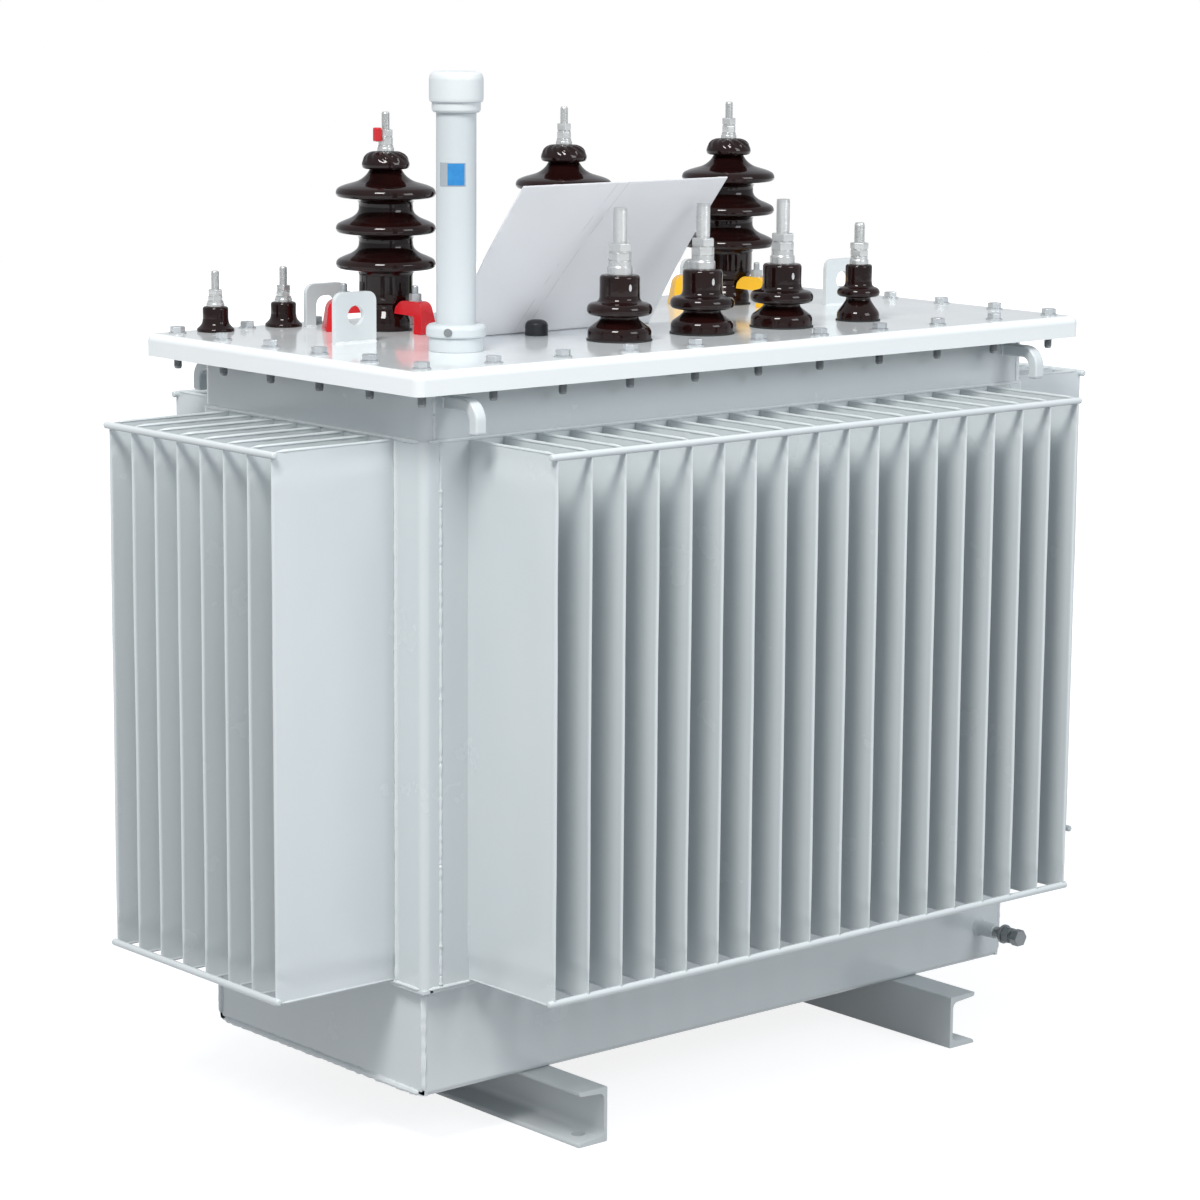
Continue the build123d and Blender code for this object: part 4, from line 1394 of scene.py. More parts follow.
    def tie_bars(self, row: FinRow) -> list[Solid]:
        """The two round bars along the fins' outer corners of one wall.

        Args:
            row: the wall's sizes.

        Returns:
            The lower and the upper bar.
        """
        length = (row.count - 1) * row.pitch + self.fin_width + 2 * self.rod_overrun
        radius, end = self.rod_radius, length / 2
        profile = [(0, -end, 0), (radius, -end, 2.5), (radius, end, 2.5), (0, end, 0)]
        out = -row.wall_out - row.reach + radius
        return [Solid.lathe(profile, 16, 3).turn(90, Axis.Y).move(0, out, z).turn(row.turn, Axis.Z)
                for z in (self.fin_low + radius, self.fin_high - radius)]

    def post(self) -> Solid:
        """The bent corner plate at the front left.

        Returns:
            The plate in its place.
        """
        left, front, thick = -self.half_x, -self.half_y, self.post_thickness
        right, back = left + self.post_short, front + self.post_long
        outline = [
            (left, back, 0.6), (left, front, 12.0), (right, front, 0.6),
            (right, front + thick, 0.6), (left + thick, front + thick, 7.0),
            (left + thick, back, 0.6),
        ]
        return Solid.plate(outline, self.high - self.low).move(0, 0, self.low)

    def seams(self) -> Piece:
        """Upright seams beside the posts and level seams at the neck and ledge.

        Returns:
            The seams' piece.
        """
        x, y = self.half_x, self.half_y
        short, long = self.post_short, self.post_long
        piece = Piece("tank_welds")
        for corner, (sx, sy) in enumerate(CORNERS):
            uprights = (
                ((sx * (x - short + 1), sy * (y - 0.9)), 2.6, 0.45, 3.0),
                ((sx * (x - 0.2), sy * (y - long - 2.4)), 3.4, 0.16, 5.0),
            )
            for number, ((px, py), radius, ripple, step) in enumerate(uprights):
                piece.add(Solid.bead((px, py, self.low + 2), (px, py, self.high - 2), radius,
                                     corner * 10 + number, step, ripple))
        long_end, short_end = x - 10, y - 10
        for level, radius, seed in ((self.high, 3.0, 71), (self.low + 0.5, 2.6, 81)):
            for side in (-1, 1):
                px, py = side * (x - 0.4), side * (y - 0.4)
                piece.add(
                    Solid.bead((-long_end, py, level), (long_end, py, level), radius,
                               seed + side, self.level_step, self.level_ripple),
                    Solid.bead((px, -short_end, level), (px, short_end, level), radius,
                               seed + 3 + side, self.level_step, self.level_ripple))
        return piece

    def build(self) -> None:
        """Make walls, bars, posts and seams."""
        bars: dict[str, list[Solid]] = {"fin_rods_long": [], "fin_rods_short": []}
        for row in self.rows:
            self.wall(row).finish(Paints.TANK, row.node)
            name = "fin_rods_long" if row.wall_out < self.half_x else "fin_rods_short"
            bars[name] += self.tie_bars(row)
        for name, solids in bars.items():
            Piece(name + "_bars").add(*solids).finish(Paints.TANK, name)
        for name, axes in QUARTERS.items():
            Piece(name + "_post").add(self.post().flip(*axes)).finish(
                Paints.TANK, "corner_post_" + name)
        self.seams().finish(Paints.WELD)


@dataclass
class Neck:
    """Plain upper wall of the tank with its rim flange, gasket and lashing hooks."""

    half_x: float = 584.0
    half_y: float = 257.0
    low: float = 990.0
    high: float = 1071.0
    wall: float = 6.0
    corner: float = 20.0
    rim: float = 10.0
    outreach: float = 42.0
    gasket: float = 6.0
    gasket_width: float = 30.0
    gasket_inset: float = 2.0
    seam_inset: float = 19.0
    seam_radius: float = 2.6
    hook_x: float = 541.0
    hook_width: float = 18.0
    hook_height: float = 17.0
    hook_reach: float = 71.0
    hook_drop: float = 48.0
    hook_crown: float = 1051.0

    def hook(self) -> Solid:
        """The square bar bent down at the front left.

        Returns:
            The bar in its place.
        """
        reach, drop, bar_height = self.hook_reach, self.hook_drop, self.hook_height
        inner = reach - bar_height
        outline = [
            (0, -bar_height, 0), (inner, -bar_height, 13), (inner, -drop, 3), (reach, -drop, 5),
            (reach, 0, 30), (0, 0, 0),
        ]
        bar = Solid.plate(outline, self.hook_width, arc=10)
        bar.round_edges(3.2, 3, 50, lambda e: max(v.co.x for v in e.verts) > 1)
        # The outline's x runs out to -Y and its y runs up; the bar is centred on the hook's place.
        bar.reshape(lambda p: Vector((p.z - self.hook_width / 2, -p.x, p.y))).face_outwards()
        return bar.move(-self.hook_x, -self.half_y, self.hook_crown)

    def build(self) -> None:
        """Make neck, rim, gasket, hooks and the neck's seams."""
        x, y, out = self.half_x, self.half_y, self.outreach
        neck = Solid.band(x, y, self.corner, self.wall, self.low, self.high - self.low)
        Piece("neck_band").add(neck).finish(Paints.TANK, "tank_neck")
        rim = Solid.band(x + out, y + out, self.corner, out + self.wall, self.high, self.rim)
        Piece("rim_ring").add(rim.round_edges(0.8, 2, 60)).finish(Paints.TANK, "rim_flange")
        out -= self.gasket_inset
        strip = Solid.band(x + out, y + out, self.corner, self.gasket_width, self.high + self.rim,
                           self.gasket)
        Piece("gasket_strip").add(strip).finish(Paints.RUBBER, "cover_gasket")
        hooks = [self.hook().flip(*axes) for axes in QUARTERS.values()]
        Piece("lashing_hook_bars").add(*hooks).finish(Paints.TANK, "lashing_hooks")
        self.seams().finish(Paints.WELD)

    def seams(self) -> Piece:
        """An upright seam near each corner and two at the foot of each hook.

        Returns:
            The seams' piece.
        """
        piece = Piece("neck_welds")
        crown = self.hook_crown
        for index, (sx, sy) in enumerate(CORNERS):
            x, y = sx * (self.half_x - self.seam_inset), sy * (self.half_y - 0.6)
            piece.add(Solid.bead((x, y, self.low + 2), (x, y, self.high - 2),
                                 self.seam_radius, 91 + index, 3.0, 0.45))
            y = sy * self.half_y
            for side in (-1, 1):
                foot = sx * self.hook_x + side * self.hook_width / 2
                piece.add(Solid.bead((foot, y, crown - self.hook_height), (foot, y, crown),
                                     self.seam_radius, 101 + index, 3.0))
        return piece


@dataclass
class Cover:
    """Cover plate with folded edges, its bolts and its lifting lugs."""

    half_x: float = 640.0
    half_y: float = 318.0
    top: float = COVER_TOP
    thickness: float = 5.0
    lip: float = 32.0
    corner: float = 14.0
    bend: float = 12.0
    bolt_x: float = 606.0
    bolt_y: float = 283.0
    long_count: int = 11
    short_count: int = 6
    head_flats: float = 19.0
    head_height: float = 8.0
    nut_height: float = 10.0
    thread_pitch: float = 1.75
    rim_depth: float = 21.0
    washer_radius: float = 12.5
    washer_height: float = 2.2
    head_turn: float = 47.0
    nut_turn: float = 13.0
    bolt_radius: float = 6.0
    bolt_low: float = 1042.0
    eye_lugs: tuple = ((-476.0, 37.0), (476.0, 37.0))
    arched_lugs: tuple = ((-368.0, 252.0), (368.0, 252.0))
    lug_width: float = 72.0
    lug_height: float = 71.0
    lug_thickness: float = 8.0
    lug_corner: float = 14.0
    eye_height: float = 38.0
    eye_radius: float = 14.0
    arch_height: float = 62.0
    arch_leg: float = 18.0
    lug_seam: float = 2.4

    def plate(self) -> Solid:
        """The plate with its folded edges.

        Returns:
            The plate in its place.
        """
        made = Solid.box((-self.half_x, -self.half_y, self.top - self.lip),
                         (self.half_x, self.half_y, self.top))
        made.round_edges(self.corner, 6, 60, lambda e: rise(e) > 1)
        made.round_edges(self.bend, 6, 60,
                         lambda e: min(v.co.z for v in e.verts) > self.top - 1)
        under = [f for f in made.bm.faces if f.normal.z < -0.9]
        bmesh.ops.delete(made.bm, geom=under, context="FACES")
        bmesh.ops.solidify(made.bm, geom=made.bm.faces[:], thickness=self.thickness)
        return made.face_outwards()

    def bolt_places(self) -> list[tuple[float, float]]:
        """Places of the bolts round the cover.

        Returns:
            The x and y of each bolt.
        """
        places = []
        for index in range(self.long_count):
            x = -self.bolt_x + 2 * self.bolt_x * index / (self.long_count - 1)
            places += [(x, -self.bolt_y), (x, self.bolt_y)]
        for index in range(1, self.short_count - 1):
            y = -self.bolt_y + 2 * self.bolt_y * index / (self.short_count - 1)
            places += [(-self.bolt_x, y), (self.bolt_x, y)]
        return places

    def lug(self, x: float, y: float, arched: bool) -> Solid:
        """One lifting lug, with a round eye or cut out as an arch.

        Args:
            x: the lug's middle.
            y: the lug's middle.
            arched: whether it is an arch.

        Returns:
            The lug in its place.
        """
        half, corner = self.lug_width / 2, self.lug_corner
        height = self.arch_height if arched else self.lug_height
        outline = [(half, 0, 0), (half, height, corner), (-half, height, corner), (-half, 0, 0)]
        if arched:
            gap, crown = half - self.arch_leg, height - self.arch_leg
            outline += [(-gap, 0, 0), (-gap, crown, corner), (gap, crown, corner), (gap, 0, 0)]
        hole = None if arched else (0, self.eye_height, self.eye_radius)
        plate = Solid.plate(outline, self.lug_thickness, hole=hole)
        plate.round_edges(1.2, 2, 50)
        return plate.turn(90, Axis.X).move(x, y + self.lug_thickness / 2, self.top)

    def build(self) -> None:
        """Make the plate, the bolts and the lugs."""
        # The plate takes the lightened paint: painted light on its top.
        Piece("cover_plate").add(self.plate()).finish(Paints.COVER_LIGHTENED, "cover")
        self.fit_bolts()
        plates = Piece("lifting_lug_plates")
        plates.add(*[self.lug(x, y, False) for x, y in self.eye_lugs])
        plates.add(*[self.lug(x, y, True) for x, y in self.arched_lugs])
        plates.finish(Paints.TANK, "lifting_lugs")
        self.lug_seams().finish(Paints.WELD)

    def fit_bolts(self) -> None:
        """Make the bolt heads on the cover and the nuts and thread ends under the rim."""
        heads, ends = Piece("cover_bolt_heads"), Piece("cover_bolt_ends")
        rim_low, washer = self.top - self.rim_depth, self.washer_height
        for index, (x, y) in enumerate(self.bolt_places()):
            turn = self.head_turn * index
            heads.add(
                disc(self.washer_radius, washer).move(x, y, self.top),
                hexagon(self.head_flats, self.head_height, CHAMFER, turn).move(
                    x, y, self.top + washer))
            thread = threaded(self.bolt_radius, rim_low - self.bolt_low, self.thread_pitch, 12)
            ends.add(
                disc(self.washer_radius, washer, segments=20).move(x, y, rim_low - washer),
                hexagon(self.head_flats, self.nut_height, CHAMFER, turn + self.nut_turn).move(
                    x, y, rim_low - washer - self.nut_height),
                thread.flip(Axis.Z).move(x, y, rim_low))
        heads.finish(Paints.ZINC)
        ends.finish(Paints.DARK_STEEL)

    def lug_seams(self) -> Piece:
        """A seam on both sides of each lug's foot.

        Returns:
            The seams' piece.
        """
        seams = Piece("lug_welds")
        half, leg = self.lug_width / 2, self.arch_leg
        runs = [(x - half, x + half, y) for x, y in self.eye_lugs]
        for x, y in self.arched_lugs:
            runs += [(x - half, x - half + leg, y), (x + half - leg, x + half, y)]
        for index, (start, end, y) in enumerate(runs):
            for side in (-1, 1):
                foot = y + side * self.lug_thickness / 2
                seams.add(Solid.bead((start, foot, self.top), (end, foot, self.top),
                                     self.lug_seam, 121 + index * 2 + side, ripple=0.25))
        return seams


class Phase(Enum):
    """The three phases with their clamp colours."""

    LEFT = ("left", -1, Paints.RED)
    MIDDLE = ("middle", 0, Paints.GREEN)
    RIGHT = ("right", 1, Paints.YELLOW)


@dataclass
class HighVoltage:
    """Three high-voltage bushings with clamp claws and terminals."""

    pitch: float = 335.0
    row_y: float = 148.0
    top: float = COVER_TOP
    foot: float = 36.0
    grip: float = 28.0
    core: float = 40.0
    shed: float = 72.0
    shed_levels: tuple = (95.0, 146.0, 197.0)
    neck: float = 22.0
    knob: float = 34.5
    knob_base: float = 232.0
    knob_height: float = 25.0
    grooves: int = 12
    groove_depth: float = 1.9
    claw_angles: tuple = (-85.0, 35.0, 155.0)
    claw_reach: float = 92.0
    claw_width: float = 26.0
    claw_bolt_reach: float = 62.0
    seat_overhang: float = 1.5
    seat_height: float = 1.6
    tab: tuple = ((-20.0, -5.0, 271.0), (-10.0, 5.0, 291.0))
    terminal: Terminal = field(default_factory=lambda: Terminal(6, 56, 12, 9, 19, 10, 1.75, 10))

    def porcelain(self) -> Solid:
        """Foot, core with three umbrella sheds, and neck.

        Returns:
            The porcelain on z = 0.
        """
        foot, grip, core, shed = self.foot, self.grip, self.core, self.shed
        profile = [
            (0, 0, 0), (foot - 1, 0, 1.5), (foot, 16, 5), (grip + 3, 25, 4), (grip, 30, 3),
            (grip + 1, 36, 4), (core - 3, 44, 5), (core - 1, 52, 4)]
        for number, rim in enumerate(self.shed_levels):
            profile += [(core - 1, rim - 10, 6), (shed - 9, rim - 6.5, 3), (shed, rim - 5, 4.5),
                        (shed, rim + 6, 5), (shed - 10, rim + 11, 5)]
            if number < len(self.shed_levels) - 1:
                profile += [(core + 7, rim + 17, 6), (core - 1, rim + 25, 5)]
        rim, end = self.shed_levels[-1], self.knob_base + 1
        profile += [(core - 6, rim + 19, 10), (self.neck + 4, rim + 29, 4), (self.neck, end, 2),
                    (0, end, 0)]
        return Solid.lathe(profile, 64, 4)

    def knob_form(self) -> Solid:
        """The wide grooved head under the terminal.

        Returns:
            The head over a bushing on z = 0.
        """
        knob, low, high = self.knob, self.knob_base, self.knob_base + self.knob_height
        profile = [(0, low, 0), (knob - 2, low, 2), (knob, low + 4, 3), (knob - 0.5, low + 12, 5),
                   (knob - 5, high - 5, 4), (knob - 13, high - 0.5, 4), (12, high, 1),
                   (0, high, 0)]
        made = Solid.lathe(profile, 72, 4)

        def grooved(p: Vector) -> Vector:
            """Press the swirl of grooves into the head's shoulder.

            Args:
                p: a point of the plain head.

            Returns:
                The point of the grooved head.
            """
            radius = math.hypot(p.x, p.y)
            angle = math.atan2(p.y, p.x) + (p.z - low) * 0.035
            on = smooth_step(p.z, low + 9, low + 16) * smooth_step(radius, 12, 20)
            cut = self.groove_depth * on * (0.5 - 0.5 * math.cos(self.grooves * angle)) ** 2
            narrow = 1 - cut / max(radius, 1)
            return Vector((p.x * narrow, p.y * narrow, p.z - 0.6 * cut))

        return made.reshape(grooved)

    def claw(self, angle: float) -> Solid:
        """One cast clamp claw in place at a bearing round the bushing.

        Args:
            angle: its bearing in degrees.

        Returns:
            The claw round a bushing at the origin.
        """
        toe, reach = self.grip + 2, self.claw_reach
        outline = [
            (toe, 26.3, 1), (toe, 35, 3), (toe + 12, 46, 6), (reach - 6, 46, 13),
            (reach - 3, 22, 8), (reach, 0, 1.5), (reach - 19, 0, 1.5), (reach - 18, 20, 5),
            (reach - 25, 30, 6), (toe + 15, 29.5, 6), (toe + 10, 26.3, 2),
        ]
        half = self.claw_width / 2
        arch = Solid.plate(outline, self.claw_width, arc=4).round_edges(2.2, 3, 50)
        # The outline's x runs outwards, its y runs up, and the thickness lies across.
        arch.reshape(lambda p: Vector((p.x, (p.z - half) * self.claw_spread(p.x, p.y), p.y)))
        return arch.face_outwards().turn(angle, Axis.Z)

    def claw_spread(self, out: float, height: float) -> float:
        """How much wider than its middle the claw is at a place.

        Args:
            out: distance from the bushing's axis.
            height: height over the cover.

        Returns:
            The factor on its width.
        """
        reach = self.claw_reach
        foot = smooth_step(22 - height, 0, 22) * smooth_step(out, reach - 24, reach - 10)
        waist = 1 - 0.18 * smooth_step(height, 20, 34)
        return waist + 0.3 * foot

    def claw_bolt(self, angle: float) -> list[Solid]:
        """Stud, washer and nut on one claw.

        Args:
            angle: the claw's bearing in degrees.

        Returns:
            The washer, the nut and the stud.
        """
        reach = self.claw_bolt_reach
        parts = [
            disc(9.5, 1.8).move(reach, 0, 45.8),
            hexagon(16, 9, 0.8, 20).move(reach, 0, 47.6),
            threaded(5, 24, 1.5, 16).move(reach, 0, 44),
        ]
        return [part.turn(angle, Axis.Z) for part in parts]

    def build(self) -> None:
        """Make the three bushings, and the red tab on the left one."""
        studs, bolts = Piece("hv_terminal_stacks"), Piece("hv_claw_bolts")
        seats = Piece("hv_seat_gaskets")
        for phase in Phase:
            name, side, paint = phase.value
            place = (side * self.pitch, self.row_y, self.top)
            Piece(f"hv_porcelain_{name}").add(
                self.porcelain().move(*place), self.knob_form().move(*place)).finish(
                Paints.GLAZE, f"hv_insulator_{name}")
            Piece(f"hv_claws_{name}").add(
                *[self.claw(angle).move(*place) for angle in self.claw_angles]).finish(
                paint, f"hv_clamp_{name}")
            for angle in self.claw_angles:
                bolts.add(*[part.move(*place) for part in self.claw_bolt(angle)])
            seats.add(disc(self.foot + self.seat_overhang, self.seat_height).move(*place))
            studs.add(*self.terminal.solids(*place[:2], self.top + self.knob_base
                                            + self.knob_height))
        studs.finish(Paints.TIN, "hv_terminals")
        bolts.finish(Paints.ZINC)
        seats.finish(Paints.RUBBER)
        origin = (-self.pitch, self.row_y, self.top)
        low, high = ([a + b for a, b in zip(origin, end)] for end in self.tab)
        Piece("hv_phase_tab").add(Solid.box(low, high).round_edges(2.0, 3)).finish(Paints.RED)


@dataclass
class LowVoltage:
    """Three low-voltage bushings and the slimmer neutral in one row."""

    pitch: float = 158.0
    row_y: float = -163.0
    top: float = COVER_TOP
    height: float = 93.0
    neutral_height: float = 84.0
    seat_radius: float = 47.0
    seat_height: float = 2.4
    neutral_seat_radius: float = 33.5
    neutral_seat_height: float = 2.0
    key_level: float = 76.0
    key_bearing: float = -10.0
    terminal: Terminal = field(
        default_factory=lambda: Terminal(10, 94, 18, 20, 30, 11, 2.5, 5, 0.12))
    neutral_terminal: Terminal = field(
        default_factory=lambda: Terminal(8, 62, 14, 12, 24, 9, 2.0, 25))

    def porcelain(self) -> Solid:
        """Broad foot, waist, one thick shed and a plain body.

        Returns:
            The porcelain on z = 0.
        """
        profile = [
            (0, 0, 0), (45.5, 0, 1.2), (45.5, 16.5, 4.5), (40, 20.5, 4), (32, 26, 5), (27, 31, 3),
            (27.5, 35, 2.5), (46.5, 36.5, 6), (46.5, 51.5, 6.5), (30, 55.5, 4), (28.7, 62, 2),
            (28.7, self.height, 5), (0, self.height, 0),
        ]
        return Solid.lathe(profile, 64, 4)

    def neutral(self) -> Solid:
        """The slimmer bushing at the end of the row.

        Returns:
            The porcelain on z = 0.
        """
        profile = [
            (0, 0, 0), (32, 0, 1.2), (32, 12, 4), (22, 25, 6), (18, 32, 3), (19, 35.5, 2.5),
            (32, 36.5, 4.5), (32, 47.5, 5), (21, 51.5, 3), (20, 57, 2),
            (20, self.neutral_height, 4), (0, self.neutral_height, 0),
        ]
        return Solid.lathe(profile, 56, 4)

    def build(self) -> None:
        """Make the row with gaskets, keyways and terminals."""
        studs, seats = Piece("lv_terminal_stacks"), Piece("lv_seat_gaskets")
        keys = Piece("lv_key_marks")
        for side, name in ((-1, "left"), (0, "middle"), (1, "right")):
            place = (side * self.pitch, self.row_y, self.top)
            Piece(f"lv_porcelain_{name}").add(self.porcelain().move(*place)).finish(
                Paints.GLAZE, f"lv_insulator_{name}")
            studs.add(*self.terminal.solids(*place[:2], self.top + self.height))
            seats.add(disc(self.seat_radius, self.seat_height).move(*place))
            keys.add(self.key_mark().move(*place))
        place = (2 * self.pitch, self.row_y, self.top)
        Piece("lv_porcelain_neutral").add(self.neutral().move(*place)).finish(
            Paints.GLAZE, "lv_insulator_neutral")
        studs.add(*self.neutral_terminal.solids(*place[:2], self.top + self.neutral_height))
        seats.add(disc(self.neutral_seat_radius, self.neutral_seat_height).move(*place))
        studs.finish(Paints.TIN, "lv_terminals")
        seats.finish(Paints.RUBBER)
        keys.finish(Paints.TIN)

    def key_mark(self) -> Solid:
        """The small oval mark on the front of a bushing's body.

        Returns:
            The mark on a bushing at the origin.
        """
        mark = disc(3.2, 1.4, 0.5, 20).turn(90, Axis.X)
        mark.reshape(lambda p: Vector((p.x * 0.7, p.y, p.z * 1.6)))
        return mark.move(0, -28, self.key_level).turn(self.key_bearing, Axis.Z)


@dataclass
class SmallBushings:
    """Two small bushings at the rear left corner."""

    places: tuple = (-545.0, -425.0)
    row_y: float = 276.0
    top: float = COVER_TOP
    height: float = 36.0
    terminal: Terminal = field(default_factory=lambda: Terminal(6, 51, 13, 8, 19, 7, 1.5, 12))

    def build(self) -> None:
        """Make both with their seats and terminals."""
        bodies, studs = Piece("small_porcelains"), Piece("small_terminal_stacks")
        profile = [(0, 0, 0), (27, 0, 1), (27, 4, 1.5), (22, 8, 3), (19.5, 12, 3), (18.6, 17, 2),
                   (18.6, self.height, 4), (0, self.height, 0)]
        for x in self.places:
            bodies.add(Solid.lathe(profile, 48, 3).move(x, self.row_y, self.top))
            studs.add(*self.terminal.solids(x, self.row_y, self.top + self.height))
        bodies.finish(Paints.GLAZE, "small_insulators")
        studs.finish(Paints.TIN, "small_terminals")


@dataclass
class OilGauge:
    """Oil gauge: clamp collar, tube, window and screw cap, with the pocket cap beside it."""

    x: float = -426.0
    y: float = -129.0
    top: float = COVER_TOP
    tube_radius: float = 27.5
    tube_wall: float = 3.0
    tube_low: float = 37.0
    tube_high: float = 325.0
    window_level: float = 242.0
    window_height: float = 32.0
    window_width: float = 36.0
    window_bearing: float = 219.0
    pane_thickness: float = 1.6
    screw_radius: float = 6.0
    screw_height: float = 3.0
    screw_level: float = 28.0
    screw_out: float = 40.0
    screw_bearing: float = -54.0
    pocket: tuple = (-209.0, -41.0)

    def tube(self) -> Solid:
        """The open tube.

        Returns:
            The tube over a cover at z = 0.
        """
        outer, inner = self.tube_radius, self.tube_radius - self.tube_wall
        low, high = self.tube_low, self.tube_high
        return Solid.lathe([(outer, low, 0), (outer, high, 0), (inner, high, 0), (inner, low, 0)],
                           64, 2, ring=True)

    def cap(self) -> Solid:
        """The screw cap on the tube, with a narrower skirt.

        Returns:
            The cap over a cover at z = 0.
        """
        low = self.tube_high
        return Solid.lathe([
            (0, low, 0), (31, low, 1), (33.5, low + 3, 1.5), (33.5, low + 14, 0.4),
            (36.2, low + 14, 1.5), (37.2, low + 18, 2), (37.2, low + 48, 4), (34, low + 54, 2),
            (25, low + 55.5, 1), (0, low + 56, 0)], 64, 3)

    def pane(self, start: float, end: float, low: float, high: float, radius: float, name: str,
             finish: Finish, *replaced: str) -> None:
        """A curved strip of the window.

        Args:
            start: first edge across the window, from its middle.
            end: last edge.
            low: lower edge above the cover.
            high: upper edge.
            radius: outer radius.
            name: the piece's name.
            finish: its finish.
            replaced: nodes that it stands for.
        """
        thick = self.pane_thickness
        strip = Solid.box((0, start, low), (thick, end, high))
        across = [e for e in strip.bm.edges if abs(e.verts[0].co.y - e.verts[1].co.y) > 1]
        bmesh.ops.subdivide_edges(strip.bm, cuts=9, use_grid_fill=True, edges=across)
        strip.reshape(lambda p: Vector((math.sqrt(radius ** 2 - p.y ** 2) - thick + p.x, p.y,
                                        p.z)))
        strip.turn(self.window_bearing, Axis.Z).move(self.x, self.y, self.top)
        Piece(name).add(strip).finish(finish, *replaced)

    def build(self) -> None:
        """Make the gauge and the pocket cap."""
        place, seat = (self.x, self.y, self.top), self.tube_low
        collar = Solid.lathe([
            (0, 0, 0), (38, 0, 1), (38, 18, 1), (37, 19.5, 0.3), (40.5, 20, 1), (41.5, 22, 1),
            (41.5, 33, 3), (37.5, 36.5, 1.5), (30, seat, 0.5), (0, seat, 0)], 64, 3)
        Piece("gauge_collar").add(collar.move(*place)).finish(Paints.GAUGE, "gauge_base")
        screw = disc(self.screw_radius, self.screw_height, 0.8, 24)
        socket = Solid.rod(3.4, 1.2, 6).move(0, 0, 2.4)
        for part in (screw, socket):
            part.turn(90, Axis.X).move(0, -self.screw_out, self.screw_level)
            part.turn(self.screw_bearing, Axis.Z).move(*place)
        Piece("gauge_clamp_screw").add(screw, socket).finish(Paints.DARK_STEEL)
        Piece("gauge_tube_shell").add(self.tube().move(*place)).finish(Paints.GAUGE, "gauge_tube")
        half, radius = self.window_width / 2, self.tube_radius + 0.4
        low = self.window_level - self.window_height / 2
        high = self.window_level + self.window_height / 2
        self.pane(-half, half, low, high, radius, "gauge_scale_pane", Paints.SILVER,
                  "gauge_window")
        self.pane(-half + 12, half - 1.5, low + 1.5, high - 1, radius + 0.5, "gauge_float_pane",
                  Paints.BLUE)
        Piece("gauge_screw_cap").add(self.cap().move(*place)).finish(Paints.WHITE, "gauge_cap")
        dome = Solid.lathe([(0, 0, 0), (16.5, 0, 0.8), (16.5, 15.5, 2.5), (14, 20, 3),
                            (8, 22.4, 2), (0, 23, 0)], 48, 3)
        Piece("pocket_cap_dome").add(dome.move(*self.pocket, self.top)).finish(
            Paints.BLACK, "pocket_cap")


@dataclass
class LeaningSheet:
    """A bare sheet that leans forward over the low-voltage row on a small folded foot."""

    width: float = 380.0
    height: float = 280.0
    thickness: float = 2.0
    lean: float = 37.0
    foot_y: float = -6.0
    middle_x: float = -155.0
    foot_depth: float = 24.0
    top: float = COVER_TOP
    bow: float = 5.0

    def build(self) -> None:
        """Make the sheet with its foot."""
        half = self.width / 2
        face = Solid.box((-half, -self.thickness, 0), (half, 0, self.height))
        long_edges = [e for e in face.bm.edges if e.calc_length() > 10]
        bmesh.ops.subdivide_edges(face.bm, cuts=11, use_grid_fill=True, edges=long_edges)
        face.reshape(lambda p: Vector(
            (p.x, p.y + self.bow * math.sin(math.pi * p.z / self.height), p.z)))
        face.round_edges(0.5, 2, 60)
        face.turn(self.lean, Axis.X).move(self.middle_x, self.foot_y, self.top + 1.0)
        foot = Solid.box((-half, 0, 0), (half, self.foot_depth, self.thickness))
        foot.round_edges(0.5, 2).move(self.middle_x, self.foot_y - 1, self.top)
        Piece("leaning_sheet").add(face, foot).finish(Paints.SHEET)


@dataclass
class EarthStud:
    """Painted boss on the tray wall with a bolt, washer, nut and hexagon head."""

    x: float = 528.0
    wall_y: float = -245.0
    z: float = 134.0
    boss_radius: float = 11.0
    boss_length: float = 36.0
    bolt_radius: float = 8.0
    washer_radius: float = 15.0
    washer_out: float = 52.0
    nut_flats: float = 24.0
    nut_height: float = 14.0
    head_out: float = 75.0
    head_washer_radius: float = 10.5

    def placed(self, solid: Solid, out: float) -> Solid:
        """Turn a solid standing on z = 0 to point out of the wall, at a distance."""
        return solid.move(0, 0, out).turn(90, Axis.X).move(self.x, self.wall_y, self.z)

    def build(self) -> None:
        """Make boss, bolt, washer, nut and head."""
        radius, length = self.boss_radius, self.boss_length
        boss = Solid.lathe([(0, 0, 0), (radius + 4, 0, 1), (radius + 1, 4, 3),
                            (radius, length, 1.5), (0, length, 0)], 32, 3)
        Piece("earth_boss").add(self.placed(boss, 0)).finish(Paints.TANK)
        nut_out = self.washer_out + 4
        hardware = Piece("earth_hardware").add(
            self.placed(threaded(self.bolt_radius, self.head_out - length, 2.0), length),
            self.placed(disc(self.washer_radius, 4.0, 0.8), self.washer_out),
            self.placed(hexagon(self.nut_flats, self.nut_height, 1.6, 14), nut_out),
            self.placed(disc(self.head_washer_radius, 3.0, 0.8), nut_out + self.nut_height),
            self.placed(hexagon(self.nut_flats, self.nut_height, 1.6, 31), self.head_out))
        hardware.finish(Paints.DARK_STEEL, "earth_stud")


